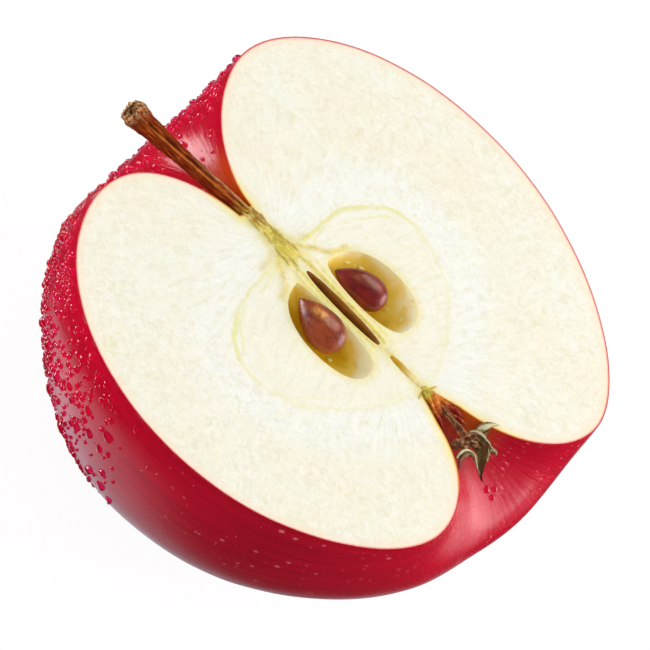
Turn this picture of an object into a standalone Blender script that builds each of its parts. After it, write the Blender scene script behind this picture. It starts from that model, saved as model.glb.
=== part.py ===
"""Half of a red apple, cut lengthwise through its stem and core.

It lies on its rounded side with the cut face up. Metres, +Z up. The core axis runs along X, with the stem
towards -X and the calyx towards +X. The origin is at the middle of the bottom of the whole half's box.

Azimuths go round the core axis below the cut face: 0 is the far lobe (+Y), 90 degrees is straight down, and
180 degrees is the near lobe (-Y). Lengths in the constants are millimetres, on axes through the core.
"""

import math

import bmesh
import bpy
from mathutils import Vector

MM = 0.001

# Where the core's own zero point lies above the origin.
CORE_ORIGIN = (0.8, -1.5, 39.1)

# The skin's outline, from the stem end to the calyx end. Three values are far lobe, underside, near lobe.
PIT_DEPTH_X = -17.2
PIT_RADIUS = 1.35
SHOULDER_X = (-32.2, -32.8, -31.4)
SHOULDER_RADIUS = (19.0, 16.3, 14.2)
CHEEK_X = -2.5
CHEEK_RADIUS = (40.1, 39.6, 37.1)
BASE_X = (33.4, 34.2, 29.3)
BASE_RADIUS = (16.5, 14.4, 14.8)
BASIN_X = 19.4
BASIN_RADIUS = 2.35
TUBE_END_X = 14.8
TUBE_END_RADIUS = 0.5
RIB_HEIGHT = 0.2
RIB_AZIMUTH = math.radians(61)

# How far the outline's curves run straight out of their ends.
PIT_PULL = (7.5, 1.0)
SHOULDER_PULL = 7.7
UPPER_CHEEK_RISE = (0.44, 0.34, 0.44)
UPPER_CHEEK_REACH = (0.64, 0.50, 0.64)
LOWER_CHEEK_PULL = (0.585, 0.35)
BASIN_PULL = (0.54, 0.49, 1.5)

# The small flat spot that the half rests on.
REST_DEPTH = 39.1

# Seed pockets: middle and half length along the core, inner edge, the longest line's two ends, outer edge, depth.
NEAR_POCKET = (1.2, 7.3, 1.7, 2.4, 3.9, 8.7, 3.8)
FAR_POCKET = (1.2, 6.7, 2.4, 4.4, 5.7, 10.8, 4.4)
POCKET_LEAN = 0.7
POCKET_BLUNTNESS = 0.75

# The middle of the slit and the canal, a little towards the far lobe.
CORE_MIDDLE_Y = 0.2

# The empty slit between the two thin walls of the core, and the canal that leads on to the calyx tube.
SLIT_X = (-6.3, 6.7)
SLIT_WIDTH = 1.6
SLIT_DEPTH = 3.2
CANAL_X = (8.8, 15.6)
CANAL_WIDTH = 1.1
CANAL_DEPTH = 1.0

# Seeds: length, width and thickness, each one's middle, and its turn about the vertical.
NEAR_SEED = ((8.3, 5.4, 4.2), (-0.35, -4.4, -0.25), math.radians(-11))
FAR_SEED = ((7.8, 4.9, 3.9), (-0.3, 5.8, -1.0), math.radians(15))
SEED_FULLEST = 0.77

# The stem: its ends and the point that its curve bows towards, then radii from base to broken end.
STEM_BASE = (-17.55, 0.0, -0.1)
STEM_BOW = (-25.5, 0.0, -1.35)
STEM_TIP = (-36.6, -0.6, -1.45)
STEM_RADII = (0.85, 0.98, 1.03, 1.1, 1.3, 1.7)
STEM_CUP_DEPTH = 1.0
STEM_RIDGES = 5
STEM_RIDGE_HEIGHT = 0.07

# The dried calyx: a thin collar in the tube that ends in four sepals (azimuth, length past the collar, lean).
COLLAR_X = 19.8
COLLAR_RADIUS = 1.55
COLLAR_END_X = 21.8
COLLAR_END_RADIUS = 1.95
SEPAL_THICKNESS = 0.45
SEPAL_GAP_LENGTH = 0.5
SEPALS = (
    (math.radians(8), 3.4, math.radians(28)),
    (math.radians(62), 5.2, math.radians(14)),
    (math.radians(118), 6.2, math.radians(22)),
    (math.radians(172), 3.8, math.radians(30)),
)
SEPAL_HALF_ANGLE = math.radians(26)

# Mesh density.
AZIMUTH_STEPS = 46
CURVE_STEPS = (10, 12, 13, 11, 3)
OVERCUT = 1.5


def core_point(x, y, z):
    """A point given on the core's axes, in metres in the half's own frame."""
    return Vector((x, y, z)) * MM + Vector(CORE_ORIGIN) * MM


def at_azimuth(values, azimuth):
    """Blends far, underside and near values smoothly round the core."""
    far, under, near = values
    middle = (far + near) / 2
    return middle + (far - near) / 2 * math.cos(azimuth) + (under - middle) * math.sin(azimuth)


def bezier(start, start_pull, end_pull, end, steps):
    """Points of one cubic curve, without its first."""
    points = []
    for step in range(1, steps + 1):
        t = step / steps
        u = 1 - t
        weights = (u ** 3, 3 * u * u * t, 3 * u * t * t, t ** 3)
        corners = (start, start_pull, end_pull, end)
        points.append(tuple(sum(w * c[axis] for w, c in zip(weights, corners)) for axis in (0, 1)))
    return points


def skin_outline(azimuth):
    """The (x, radius) outline at one azimuth, from the rim of the stem pit's floor to the calyx tube's end."""
    shoulder = (at_azimuth(SHOULDER_X, azimuth), at_azimuth(SHOULDER_RADIUS, azimuth))
    cheek = (CHEEK_X, at_azimuth(CHEEK_RADIUS, azimuth))
    rib = RIB_HEIGHT * math.cos(5 * (azimuth - RIB_AZIMUTH))
    base = (at_azimuth(BASE_X, azimuth) + rib, at_azimuth(BASE_RADIUS, azimuth))
    pit = (PIT_DEPTH_X, PIT_RADIUS)
    basin = (BASIN_X, BASIN_RADIUS)
    tube_end = (TUBE_END_X, TUBE_END_RADIUS)

    points = [pit]
    points += bezier(
        pit,
        (pit[0] - PIT_PULL[0], pit[1] + PIT_PULL[1]),
        (shoulder[0], shoulder[1] - SHOULDER_PULL),
        shoulder,
        CURVE_STEPS[0],
    )
    points += bezier(
        shoulder,
        (shoulder[0], shoulder[1] + at_azimuth(UPPER_CHEEK_RISE, azimuth) * (cheek[1] - shoulder[1])),
        (cheek[0] - at_azimuth(UPPER_CHEEK_REACH, azimuth) * (cheek[0] - shoulder[0]), cheek[1]),
        cheek,
        CURVE_STEPS[1],
    )
    points += bezier(
        cheek,
        (cheek[0] + LOWER_CHEEK_PULL[0] * (base[0] - cheek[0]), cheek[1]),
        (base[0], base[1] + LOWER_CHEEK_PULL[1] * (cheek[1] - base[1])),
        base,
        CURVE_STEPS[2],
    )
    points += bezier(
        base,
        (base[0], base[1] - BASIN_PULL[0] * (base[1] - basin[1])),
        (basin[0] + BASIN_PULL[1] * (base[0] - basin[0]), basin[1] + BASIN_PULL[2]),
        basin,
        CURVE_STEPS[3],
    )
    middle = ((basin[0] + tube_end[0]) / 2, (basin[1] + tube_end[1]) / 2)
    points += bezier(basin, middle, middle, tube_end, CURVE_STEPS[4])
    return points


def material(name, colour, roughness):
    """A Principled material with one colour."""
    new = bpy.data.materials.new(name)
    new.use_nodes = True
    shader = new.node_tree.nodes["Principled BSDF"]
    shader.inputs["Base Color"].default_value = (*colour, 1.0)
    shader.inputs["Roughness"].default_value = roughness
    shader.inputs["Metallic"].default_value = 0.0
    return new


def add_object(name, mesh, materials):
    """Links a finished bmesh as an object with outward faces."""
    bmesh.ops.recalc_face_normals(mesh, faces=mesh.faces[:])
    data = bpy.data.meshes.new(name)
    mesh.to_mesh(data)
    mesh.free()
    for each in materials:
        data.materials.append(each)
    new = bpy.data.objects.new(name, data)
    bpy.context.scene.collection.objects.link(new)
    return new


def bridge(mesh, rings, closed):
    """Joins neighbouring rows of vertices with quads; closed rows run all the way round."""
    for row, following in zip(rings, rings[1:]):
        count = len(row)
        for index in range(count if closed else count - 1):
            after = (index + 1) % count
            mesh.faces.new((row[index], row[after], following[after], following[index]))


def fan(mesh, ring, centre, closed):
    """Closes one row of vertices onto a single point."""
    count = len(ring)
    for index in range(count if closed else count - 1):
        mesh.faces.new((ring[index], ring[(index + 1) % count], centre))


def cutter(name, mesh, target):
    """Cuts a closed shape out of the target, and keeps the shape itself as a hidden guide."""
    guide = add_object(name, mesh, ())
    guide.hide_render = True
    guide.display_type = "WIRE"
    cut = target.modifiers.new(name, "BOOLEAN")
    cut.operation = "DIFFERENCE"
    cut.solver = "EXACT"
    cut.object = guide
    return guide


def flatten_bottom(mesh):
    """Slices the rounded underside off level, to leave the small flat spot."""
    bottom = core_point(0, 0, -REST_DEPTH)
    cut = bmesh.ops.bisect_plane(
        mesh,
        geom=mesh.verts[:] + mesh.edges[:] + mesh.faces[:],
        dist=1e-7,
        plane_co=bottom,
        plane_no=(0, 0, -1),
        clear_outer=True,
    )
    rim = [edge for edge in cut["geom_cut"] if isinstance(edge, bmesh.types.BMEdge)]
    bmesh.ops.edgeloop_fill(mesh, edges=rim)


def build_half(skin, flesh):
    """The half apple itself: one solid of skin and flesh, hollowed by the stem pit, basin and calyx tube."""
    mesh = bmesh.new()
    azimuths = [math.pi * step / AZIMUTH_STEPS for step in range(AZIMUTH_STEPS + 1)]
    rows = []
    for azimuth in azimuths:
        row = []
        for x, radius in skin_outline(azimuth):
            point = core_point(x, radius * math.cos(azimuth), -radius * math.sin(azimuth))
            row.append(mesh.verts.new(point))
        rows.append(row)
    # The last azimuth lies in the cut face, like the first.
    for vertex in rows[-1]:
        vertex.co.z = CORE_ORIGIN[2] * MM
    pit_floor = mesh.verts.new(core_point(PIT_DEPTH_X, 0, 0))
    tube_end = mesh.verts.new(core_point(TUBE_END_X, 0, 0))
    bridge(mesh, rows, closed=False)
    fan(mesh, [row[0] for row in rows], pit_floor, closed=False)
    fan(mesh, [row[-1] for row in rows], tube_end, closed=False)
    for face in mesh.faces:
        face.smooth = True
    cut_face = mesh.faces.new([pit_floor] + rows[0] + [tube_end] + rows[-1][::-1])
    cut_face.material_index = 1
    flatten_bottom(mesh)
    return add_object("apple_half", mesh, (skin, flesh))


def pocket_cutter(name, side, sizes, target):
    """One seed pocket: a half-moon opening in the cut face over a rounded hollow."""
    middle, half_length, inner, stem_end, calyx_end, outer, depth = sizes
    mesh = bmesh.new()
    around = 30
    levels = 6
    rings = []
    for level in range(-1, levels):
        angle = max(level, 0) / levels * math.pi / 2
        shrink = math.cos(angle)
        z = OVERCUT if level < 0 else -depth * math.sin(angle)
        ring = []
        for step in range(around):
            turn = 2 * math.pi * step / around
            longest = (stem_end + calyx_end) / 2 + (calyx_end - stem_end) / 2 * math.cos(turn) * shrink
            reach = outer - longest if math.sin(turn) > 0 else longest - inner
            across = reach * math.copysign(abs(math.sin(turn)) ** POCKET_BLUNTNESS, math.sin(turn))
            along = half_length * math.cos(turn) + POCKET_LEAN * max(math.sin(turn), 0)
            y = side * (longest + across * shrink)
            ring.append(mesh.verts.new(core_point(middle + along * shrink, y, z)))
        rings.append(ring)
    bridge(mesh, rings, closed=True)
    mesh.faces.new(rings[0])
    bottom = mesh.verts.new(core_point(middle, side * (stem_end + calyx_end) / 2, -depth))
    fan(mesh, rings[-1], bottom, closed=True)
    return cutter(name, mesh, target)


def spindle_cutter(name, ends, width, depth, target):
    """A narrow pointed trough along the core, widest at its middle."""
    start, end = ends
    mesh = bmesh.new()
    stations = 13
    rings = []
    for station in range(1, stations):
        t = station / stations
        swell = math.sin(math.pi * t) ** 0.6
        x = start + (end - start) * t
        half = width / 2 * swell
        floor = -depth * swell
        section = (
            (half, OVERCUT),
            (half, floor * 0.5),
            (half * 0.6, floor),
            (-half * 0.6, floor),
            (-half, floor * 0.5),
            (-half, OVERCUT),
        )
        rings.append([mesh.verts.new(core_point(x, y + CORE_MIDDLE_Y, z)) for y, z in section])
    bridge(mesh, rings, closed=True)
    fan(mesh, rings[0], mesh.verts.new(core_point(start, CORE_MIDDLE_Y, OVERCUT / 2)), closed=True)
    fan(mesh, rings[-1], mesh.verts.new(core_point(end, CORE_MIDDLE_Y, OVERCUT / 2)), closed=True)
    return cutter(name, mesh, target)


def build_seed(name, place, look):
    """One plump seed, round at the calyx end and pointed towards the stem."""
    (length, width, thickness), centre, turn = place
    mesh = bmesh.new()
    bmesh.ops.create_uvsphere(mesh, u_segments=20, v_segments=14, radius=1.0)
    for vertex in mesh.verts:
        # The sphere's pole axis becomes the seed's length, and its girth narrows evenly to the tip.
        along = vertex.co.z
        taper = math.sqrt(max(0.0, (1 + along) / 2)) / SEED_FULLEST
        x = along * length / 2
        y = vertex.co.x * taper * width / 2
        z = vertex.co.y * taper * thickness / 2
        turned_x = x * math.cos(turn) - y * math.sin(turn)
        turned_y = x * math.sin(turn) + y * math.cos(turn)
        vertex.co = core_point(centre[0] + turned_x, centre[1] + turned_y, centre[2] + z)
    for face in mesh.faces:
        face.smooth = True
    return add_object(name, mesh, (look,))


def stem_point(t):
    """A point of the stem's middle line, from its base (0) to its broken end (1)."""
    u = 1 - t
    return tuple(
        u * u * a + 2 * u * t * b + t * t * c
        for a, b, c in zip(STEM_BASE, STEM_BOW, STEM_TIP)
    )


def stem_radius(t):
    """The stem's radius at one share of its length."""
    place = t * (len(STEM_RADII) - 1)
    index = min(int(place), len(STEM_RADII) - 2)
    share = place - index
    share = share * share * (3 - 2 * share)
    return STEM_RADII[index] + (STEM_RADII[index + 1] - STEM_RADII[index]) * share


def build_stem(look):
    """The woody stem: a ridged, slightly bowed rod that flares into a hollow broken end."""
    mesh = bmesh.new()
    sides = 20
    stations = 22
    rings = []
    for station in range(stations + 1):
        t = station / stations
        middle = Vector(stem_point(t))
        direction = Vector(stem_point(t + 0.01)) - Vector(stem_point(t - 0.01))
        across = direction.cross(Vector((0, 0, 1))).normalized()
        upright = across.cross(direction).normalized()
        ring = []
        for side in range(sides):
            angle = 2 * math.pi * side / sides
            radius = stem_radius(t) + STEM_RIDGE_HEIGHT * math.cos(STEM_RIDGES * angle)
            spoke = across * math.cos(angle) + upright * math.sin(angle)
            ring.append(mesh.verts.new(core_point(*(middle + spoke * radius))))
        rings.append(ring)
    base = mesh.verts.new(core_point(*STEM_BASE))
    tip = Vector(stem_point(1.0))
    inward = (Vector(stem_point(0.98)) - tip).normalized()
    cup = mesh.verts.new(core_point(*(tip + inward * STEM_CUP_DEPTH)))
    bridge(mesh, rings, closed=True)
    fan(mesh, rings[0], base, closed=True)
    fan(mesh, rings[-1], cup, closed=True)
    for face in mesh.faces:
        face.smooth = True
    return add_object("stem", mesh, (look,))


def sepal_reach(azimuth):
    """How far the calyx reaches past its collar at one azimuth, and how it leans outwards there."""
    reach = SEPAL_GAP_LENGTH
    lean = math.radians(20)
    for middle, length, outward in SEPALS:
        share = 1 - abs(azimuth - middle) / SEPAL_HALF_ANGLE
        if share > 0:
            reach = SEPAL_GAP_LENGTH + (length - SEPAL_GAP_LENGTH) * share
            lean = outward
    return reach, lean


def build_calyx(look):
    """The dried calyx: one thin curved sheet, a collar below and pointed sepals above."""
    mesh = bmesh.new()
    first = SEPALS[0][0] - SEPAL_HALF_ANGLE
    last = SEPALS[-1][0] + SEPAL_HALF_ANGLE
    columns = 44
    rows = 5
    sheets = []
    for offset in (0.0, SEPAL_THICKNESS):
        sheet = []
        for column in range(columns + 1):
            azimuth = first + (last - first) * column / columns
            reach, lean = sepal_reach(azimuth)
            line = [(COLLAR_X, COLLAR_RADIUS), (COLLAR_END_X, COLLAR_END_RADIUS)]
            for row in range(1, rows + 1):
                along = reach * row / rows
                line.append((
                    COLLAR_END_X + along * math.cos(lean),
                    COLLAR_END_RADIUS + along * math.sin(lean),
                ))
            sheet.append([
                mesh.verts.new(core_point(
                    x,
                    (radius + offset) * math.cos(azimuth),
                    -(radius + offset) * math.sin(azimuth),
                ))
                for x, radius in line
            ])
        sheets.append(sheet)
    inner, outer = sheets
    bridge(mesh, inner, closed=False)
    bridge(mesh, outer, closed=False)
    bridge(mesh, [[line[0] for line in inner], [line[0] for line in outer]], closed=False)
    bridge(mesh, [[line[-1] for line in inner], [line[-1] for line in outer]], closed=False)
    bridge(mesh, [inner[0], outer[0]], closed=False)
    bridge(mesh, [inner[-1], outer[-1]], closed=False)
    return add_object("calyx", mesh, (look,))


def main():
    for old in list(bpy.data.objects):
        bpy.data.objects.remove(old, do_unlink=True)

    skin = material("apple_skin", (0.42, 0.008, 0.02), 0.25)
    flesh = material("apple_flesh", (0.88, 0.85, 0.72), 0.5)
    seed = material("apple_seed", (0.16, 0.02, 0.008), 0.25)
    wood = material("stem_wood", (0.25, 0.08, 0.03), 0.7)
    dried = material("dried_sepal", (0.2, 0.16, 0.08), 0.8)

    half = build_half(skin, flesh)
    pocket_cutter("near_pocket", -1, NEAR_POCKET, half)
    pocket_cutter("far_pocket", 1, FAR_POCKET, half)
    spindle_cutter("core_slit", SLIT_X, SLIT_WIDTH, SLIT_DEPTH, half)
    spindle_cutter("style_canal", CANAL_X, CANAL_WIDTH, CANAL_DEPTH, half)
    build_seed("seed_near", NEAR_SEED, seed)
    build_seed("seed_far", FAR_SEED, seed)
    build_stem(wood)
    build_calyx(dried)


main()
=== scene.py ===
import math

import bmesh
import bpy
import numpy as np
from mathutils import Matrix, Vector, noise
from mathutils.geometry import delaunay_2d_cdt


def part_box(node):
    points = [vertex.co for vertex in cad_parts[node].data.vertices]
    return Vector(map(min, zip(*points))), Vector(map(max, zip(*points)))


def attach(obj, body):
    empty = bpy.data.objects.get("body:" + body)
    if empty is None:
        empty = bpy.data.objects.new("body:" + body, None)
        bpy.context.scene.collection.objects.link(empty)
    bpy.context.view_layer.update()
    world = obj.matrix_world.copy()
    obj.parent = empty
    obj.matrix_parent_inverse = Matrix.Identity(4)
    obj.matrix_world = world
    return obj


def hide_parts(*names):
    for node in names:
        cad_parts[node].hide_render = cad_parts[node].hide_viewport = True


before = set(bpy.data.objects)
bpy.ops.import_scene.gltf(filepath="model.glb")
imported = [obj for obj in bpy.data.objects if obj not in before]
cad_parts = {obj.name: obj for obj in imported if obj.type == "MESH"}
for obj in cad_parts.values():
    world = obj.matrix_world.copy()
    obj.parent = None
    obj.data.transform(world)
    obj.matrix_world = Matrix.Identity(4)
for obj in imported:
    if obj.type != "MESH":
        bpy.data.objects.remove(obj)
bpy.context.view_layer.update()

MM = 0.001
rng = np.random.default_rng(11)

# ---------------------------------------------------------------- sizes, in millimetres on the core's axes
# X runs along the core to the calyx, +Y is the far lobe, and the cut face lies at Z = 0.
# Azimuths go round the core under the cut face: 0 is the far lobe, pi / 2 straight down, pi the near lobe.
# Three values are far lobe, underside, near lobe.
PIT_DEPTH_X = -17.2
PIT_RADIUS = 1.25
SHOULDER_X = (-32.2, -32.8, -31.4)
SHOULDER_RADIUS = (19.0, 16.3, 14.2)
CHEEK_X = -2.5
CHEEK_RADIUS = (40.1, 39.6, 37.1)
BASE_X = (33.4, 34.2, 29.3)
BASE_RADIUS = (16.5, 14.4, 14.8)
BASIN_X = 19.4
BASIN_RADIUS = 2.35
TUBE_END_X = 14.8
TUBE_END_RADIUS = 0.5
RIB_HEIGHT = 0.2
RIB_AZIMUTH = math.radians(61)
PIT_PULL = (7.5, 1.0)
SHOULDER_PULL = 7.7
UPPER_CHEEK_RISE = (0.44, 0.34, 0.44)
UPPER_CHEEK_REACH = (0.64, 0.50, 0.64)
LOWER_CHEEK_PULL = (0.585, 0.35)
BASIN_PULL = (0.54, 0.49, 1.5)
REST_DEPTH = 39.1

# Seed pockets: middle and half length along the core, inner edge, the longest line's two ends, outer edge and
# depth. Then the narrow slit between them, and the canal towards the calyx.
NEAR_POCKET = (1.2, 7.3, 1.7, 2.4, 3.9, 8.7, 3.8)
FAR_POCKET = (1.2, 6.7, 2.4, 4.4, 5.7, 10.8, 4.4)
POCKET_LEAN = 0.7
POCKET_BLUNTNESS = 0.75
SLIT_X = (-6.3, 6.7)
SLIT_WIDTH = 1.6
SLIT_DEPTH = 3.2
SLIT_ENDS = 0.36
CANAL_X = (8.7, 14.5)
CANAL_WIDTH = 1.1
CANAL_ENDS = 0.26
CANAL_DEPTH = 1.0
CORE_MIDDLE_Y = 0.2

# Seeds: length, width and thickness, each one's middle, and its turn about the vertical.
NEAR_SEED = ((8.3, 5.4, 4.2), (-0.35, -4.4, -0.25), math.radians(-11))
FAR_SEED = ((7.8, 4.9, 3.9), (-0.3, 5.8, -1.0), math.radians(15))

# The stem: its ends and the point that its curve bows towards, then radii from base to broken end.
STEM_BASE = (-17.0, 0.0, -0.1)
STEM_BOW = (-25.5, 0.0, -1.35)
STEM_TIP = (-36.6, -0.6, -1.45)
STEM_RADII = (0.68, 0.92, 0.97, 1.05, 1.24, 1.62)

# Yellow strands in the cut face, from the stem past the seed pockets: corners, strength and width.
STRANDS = (
    (((-10.8, 1.0), (-9.4, 2.2), (-7.9, 3.8), (-6.3, 4.9), (-5.4, 6.6), (-5.2, 8.0)), 0.80, 0.42),
    (((-11.4, -0.7), (-10.2, -1.6), (-8.8, -2.6), (-7.4, -3.7), (-6.5, -4.6), (-6.0, -6.0)), 0.65, 0.60),
    (((-11.6, -0.9), (-10.6, -2.6), (-10.4, -5.0)), 0.45, 0.55),
    (((-11.6, 0.9), (-10.4, 2.6), (-9.4, 4.6)), 0.40, 0.55),
    (((-9.4, 0.6), (-7.2, 1.3), (-4.6, 1.30), (0.0, 1.25), (4.0, 1.25), (7.0, 1.0)), 0.95, 0.30),
    (((-6.4, 2.6), (-4.6, 2.3), (-2.0, 2.10), (0.5, 2.05), (4.0, 2.2), (6.4, 2.2)), 0.50, 0.22),
    (((-9.6, -0.4), (-8.0, -0.7), (-6.4, -0.6), (-3.0, -0.85), (2.0, -0.85), (6.5, -0.6)), 0.95, 0.30),
    (((-7.6, -1.4), (-5.4, -1.7), (-2.0, -1.75), (3.0, -1.8)), 0.45, 0.22),
    (((7.0, 0.2), (8.6, 0.3)), 0.55, 0.7),
)

# The faint line round the core: reach to the stem end, to the calyx end, and to each side.
CORE_LINE_X = -0.6
CORE_LINE_STEM = 9.2
CORE_LINE_CALYX = 15.4
CORE_LINE_SIDE = 19.0

# The stem's groove and the shorter side of its slanting break, as angles round it: 0 is the near side and
# pi / 2 is up. Then how far the break slants, and how deep the hollow in it is.
GROOVE_ANGLE = 1.25
BREAK_ANGLE = 0.75
BREAK_SLANT = 0.62
HOLLOW_DEPTH = 1.5

# Where the pockets' lining is painted paler towards the calyx, as where it looks lit, and how far a pip's two
# ends bend sideways.
POCKET_PAINTED_LIGHT_X = (1.8, 8.4)
SEED_BEND = -0.5

# Sepals: each one's corners from root to tip, its width and fold, the way its upper side faces, and how much
# painted light it gets as though it caught the light: olive felt and a pale painted highlight along its fold.
SEPALS = (
    (((23.2, 2.4, -0.5), (23.2, 3.2, 0.2), (23.7, 4.0, 0.3), (24.6, 5.0, 0.1)),
     1.05, -0.2, (0.0, -0.7, 0.7), 1.0),
    (((23.7, 2.3, -0.9), (24.1, 3.0, -0.8), (24.1, 3.8, -0.7), (24.2, 4.4, -0.5)),
     0.50, 0.2, (0.0, -0.7, 0.7), 0.0),
    (((22.6, 1.2, -0.6), (23.2, 2.3, 0.2), (25.1, 1.8, -0.3), (26.6, 2.5, -1.1)),
     0.62, -0.7, (0.0, -0.7, 0.7), 0.8),
    (((25.9, 2.1, -1.2), (26.4, 2.6, -1.0), (26.9, 2.6, -1.2), (27.0, 2.1, -1.6)),
     0.50, -0.4, (0.2, -0.5, 0.8), 0.3),
    (((23.4, 1.6, -1.3), (24.7, 2.2, -0.9), (25.8, 1.8, -1.3), (26.6, 2.4, -1.6)),
     0.95, 0.5, (0.0, -0.7, 0.7), 0.15),
    (((24.0, 1.4, -1.6), (25.8, 1.9, -0.9), (26.3, -0.7, -2.3), (28.2, -0.5, -3.7)),
     1.60, 0.7, (0.0, -0.7, 0.7), 0.0),
    (((24.1, -0.9, -1.2), (25.2, 0.2, -0.8), (25.6, -1.1, -1.9), (27.2, -0.6, -2.8)),
     0.46, -0.5, (0.0, -0.7, 0.7), 0.8),
    (((25.6, 1.9, -1.2), (26.5, 1.7, -1.5), (26.6, 0.7, -2.3), (27.0, -0.1, -2.8)),
     0.46, -0.3, (0.0, -0.7, 0.7), 0.5),
    (((23.7, -3.0, -1.1), (23.2, -1.9, -0.2), (24.2, -0.7, -0.4), (25.2, -0.4, -1.2)),
     0.44, -0.4, (0.0, -0.7, 0.7), 1.0),
    (((24.9, -0.6, -1.4), (24.0, -0.7, -0.9), (23.6, -2.6, -1.0), (25.0, -2.9, -2.5)),
     1.00, -0.4, (0.0, -0.7, 0.7), 0.1),
)
SEPAL_THICKNESS = 0.17

# Dried styles and stamens in the calyx tube: corners, radius and roughness.
STAMENS = (
    (((16.6, 0.6, -0.4), (18.9, 0.4, 0.15), (20.8, -0.2, 0.1), (22.4, -0.4, -0.3)), 0.17, 0.4),
    (((17.6, 0.2, -0.6), (19.2, 0.0, -0.1), (21.0, -0.5, -0.1), (22.4, -0.6, -0.5)), 0.13, 0.5),
    (((17.4, 1.0, -0.6), (19.4, 0.8, -0.2), (21.2, 0.3, -0.2), (22.8, 0.3, -0.4)), 0.15, 0.5),
    (((18.6, 1.0, -0.9), (20.2, 1.0, -0.6), (21.8, 0.6, -0.5), (23.0, 0.7, -0.5)), 0.12, 0.5),
    (((21.4, 0.0, -0.4), (21.8, -0.3, 0.25), (22.2, -0.2, 0.2), (22.6, 0.1, -0.4)), 0.15, 0.3),
    (((22.3, -0.4, -0.8), (22.8, 0.6, -0.2), (23.1, 1.2, -0.3), (23.3, 2.0, -0.6)), 0.20, 0.6),
    (((22.2, -2.1, -1.4), (22.1, -1.5, -0.4), (22.4, -0.9, -0.4), (22.9, -0.5, -1.0)), 0.36, 0.7),
    (((22.6, -2.3, -1.4), (22.6, -1.6, -0.5), (23.1, -1.1, -0.5), (23.7, -0.8, -1.1)), 0.34, 0.7),
    (((22.9, -0.4, -1.4), (23.0, 0.4, -0.8), (23.6, 0.9, -0.8), (24.4, 1.2, -1.2)), 0.34, 0.7),
    (((23.3, -0.4, -1.5), (23.6, 0.2, -1.0), (24.2, 0.8, -1.0), (25.0, 1.2, -1.4)), 0.32, 0.7),
    (((22.8, 0.8, -1.4), (23.2, 1.3, -0.9), (23.8, 1.7, -0.9), (24.6, 1.8, -1.3)), 0.26, 0.6),
)

# Wrinkled tissue that fills the narrow end of the calyx tube, in the same way; the last two are green spurs.
TISSUE = (
    (((14.2, 0.3, -0.35), (15.1, 0.5, 0.05), (16.1, 0.7, 0.05), (17.4, 1.0, -0.3)), 0.46, 0.5),
    (((14.4, 0.1, -0.40), (15.4, -0.2, 0.0), (16.3, -0.4, 0.0), (17.5, -0.8, -0.4)), 0.40, 0.5),
    (((15.4, 0.2, -0.60), (16.4, 0.3, -0.05), (17.2, 0.1, -0.1), (18.4, 0.0, -0.8)), 0.48, 0.6),
    (((15.8, 0.9, -0.40), (17.2, 1.3, -0.10), (18.8, 1.6, -0.2), (20.8, 2.1, -0.6)), 0.34, 0.6),
    (((16.6, 0.8, -0.80), (18.2, 1.2, -0.50), (19.8, 1.4, -0.6), (21.4, 1.7, -1.0)), 0.36, 0.6),
    (((16.6, -0.5, -0.60), (17.6, -0.8, -0.35), (18.6, -1.0, -0.5), (19.8, -1.3, -1.0)), 0.30, 0.6),
    (((15.0, 0.7, -0.15), (15.3, 1.2, 0.08), (15.4, 1.6, 0.05), (15.5, 2.3, -0.12)), 0.13, 0.4),
    (((14.7, -0.4, -0.15), (14.9, -0.8, 0.06), (15.0, -1.2, 0.05), (15.1, -1.7, -0.12)), 0.12, 0.4),
)

# Fibres of the core from the stem's end along the trunk: how many, their length and radius.
FIBRE_COUNT = 30
FIBRE_X = (-18.4, -9.6)
FIBRE_LENGTH = (1.4, 3.4)
FIBRE_RADIUS = (0.10, 0.30)
# The pattern of the flesh's fibres, across them and along them.
FIBRE_STRETCH = (1.0, 0.22)

# Torn chips in the pockets: middle, size and turn.
FLAKES = (
    ((3.7, -4.6, -3.35), 0.30, 0.6),
    ((6.5, -2.8, -2.4), 0.34, 2.2),
    ((-3.7, 8.0, -1.85), 0.36, 1.2),
    ((-2.0, 9.1, -2.05), 0.42, 0.2),
    ((-2.9, 8.7, -2.05), 0.22, 2.5),
    ((5.7, 10.2, -0.45), 0.34, 0.9),
    ((6.2, 8.0, -2.35), 0.36, 1.9),
    ((4.0, 8.3, -3.05), 0.26, 0.4),
)

# Water: the way it ran, and how many places are tried. Each kind: radii, how its number follows the wetness,
# how thickly it is tried, gap between beads, most beads, rings and sides of each, how far each is drawn out.
WATER_RUN = (0.75, -0.4, -0.5)
WATER_TRIES = 60000
WATER_KINDS = (
    ("water_drops", (0.38, 0.68), 0.55, 0.016, 1.10, 240, 8, 20, 1.1),
    ("water_beads", (0.24, 0.46), 1.1, 0.16, 1.05, 1600, 6, 12, 0.5),
    ("water_spray", (0.09, 0.24), 1.3, 0.34, 1.05, 2300, 5, 10, 0.2),
)

# Three beads that hang together below the calyx: places near the skin, and radius.
CALYX_BEADS = (((29.4, 1.3, -6.2), 0.44), ((29.6, 2.4, -6.4), 0.42), ((30.2, 1.9, -7.2), 0.40))

# Floor, world and camera: radiance 1 is paper white. The world goes from dim below to light above.
FLOOR_RADIUS = 4.0
FLOOR_DIFFUSE = 0.10
FLOOR_GLOW = 0.93
WORLD_EDGE = (-0.5, 0.3)
WORLD_BELOW = 0.35
WORLD_ABOVE = 0.64
WORLD_REFLECTED = 0.03
# What a ray that passes through water reaches.
WORLD_THROUGH_WATER = (0.95, 0.80, 0.84, 1.0)
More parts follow.
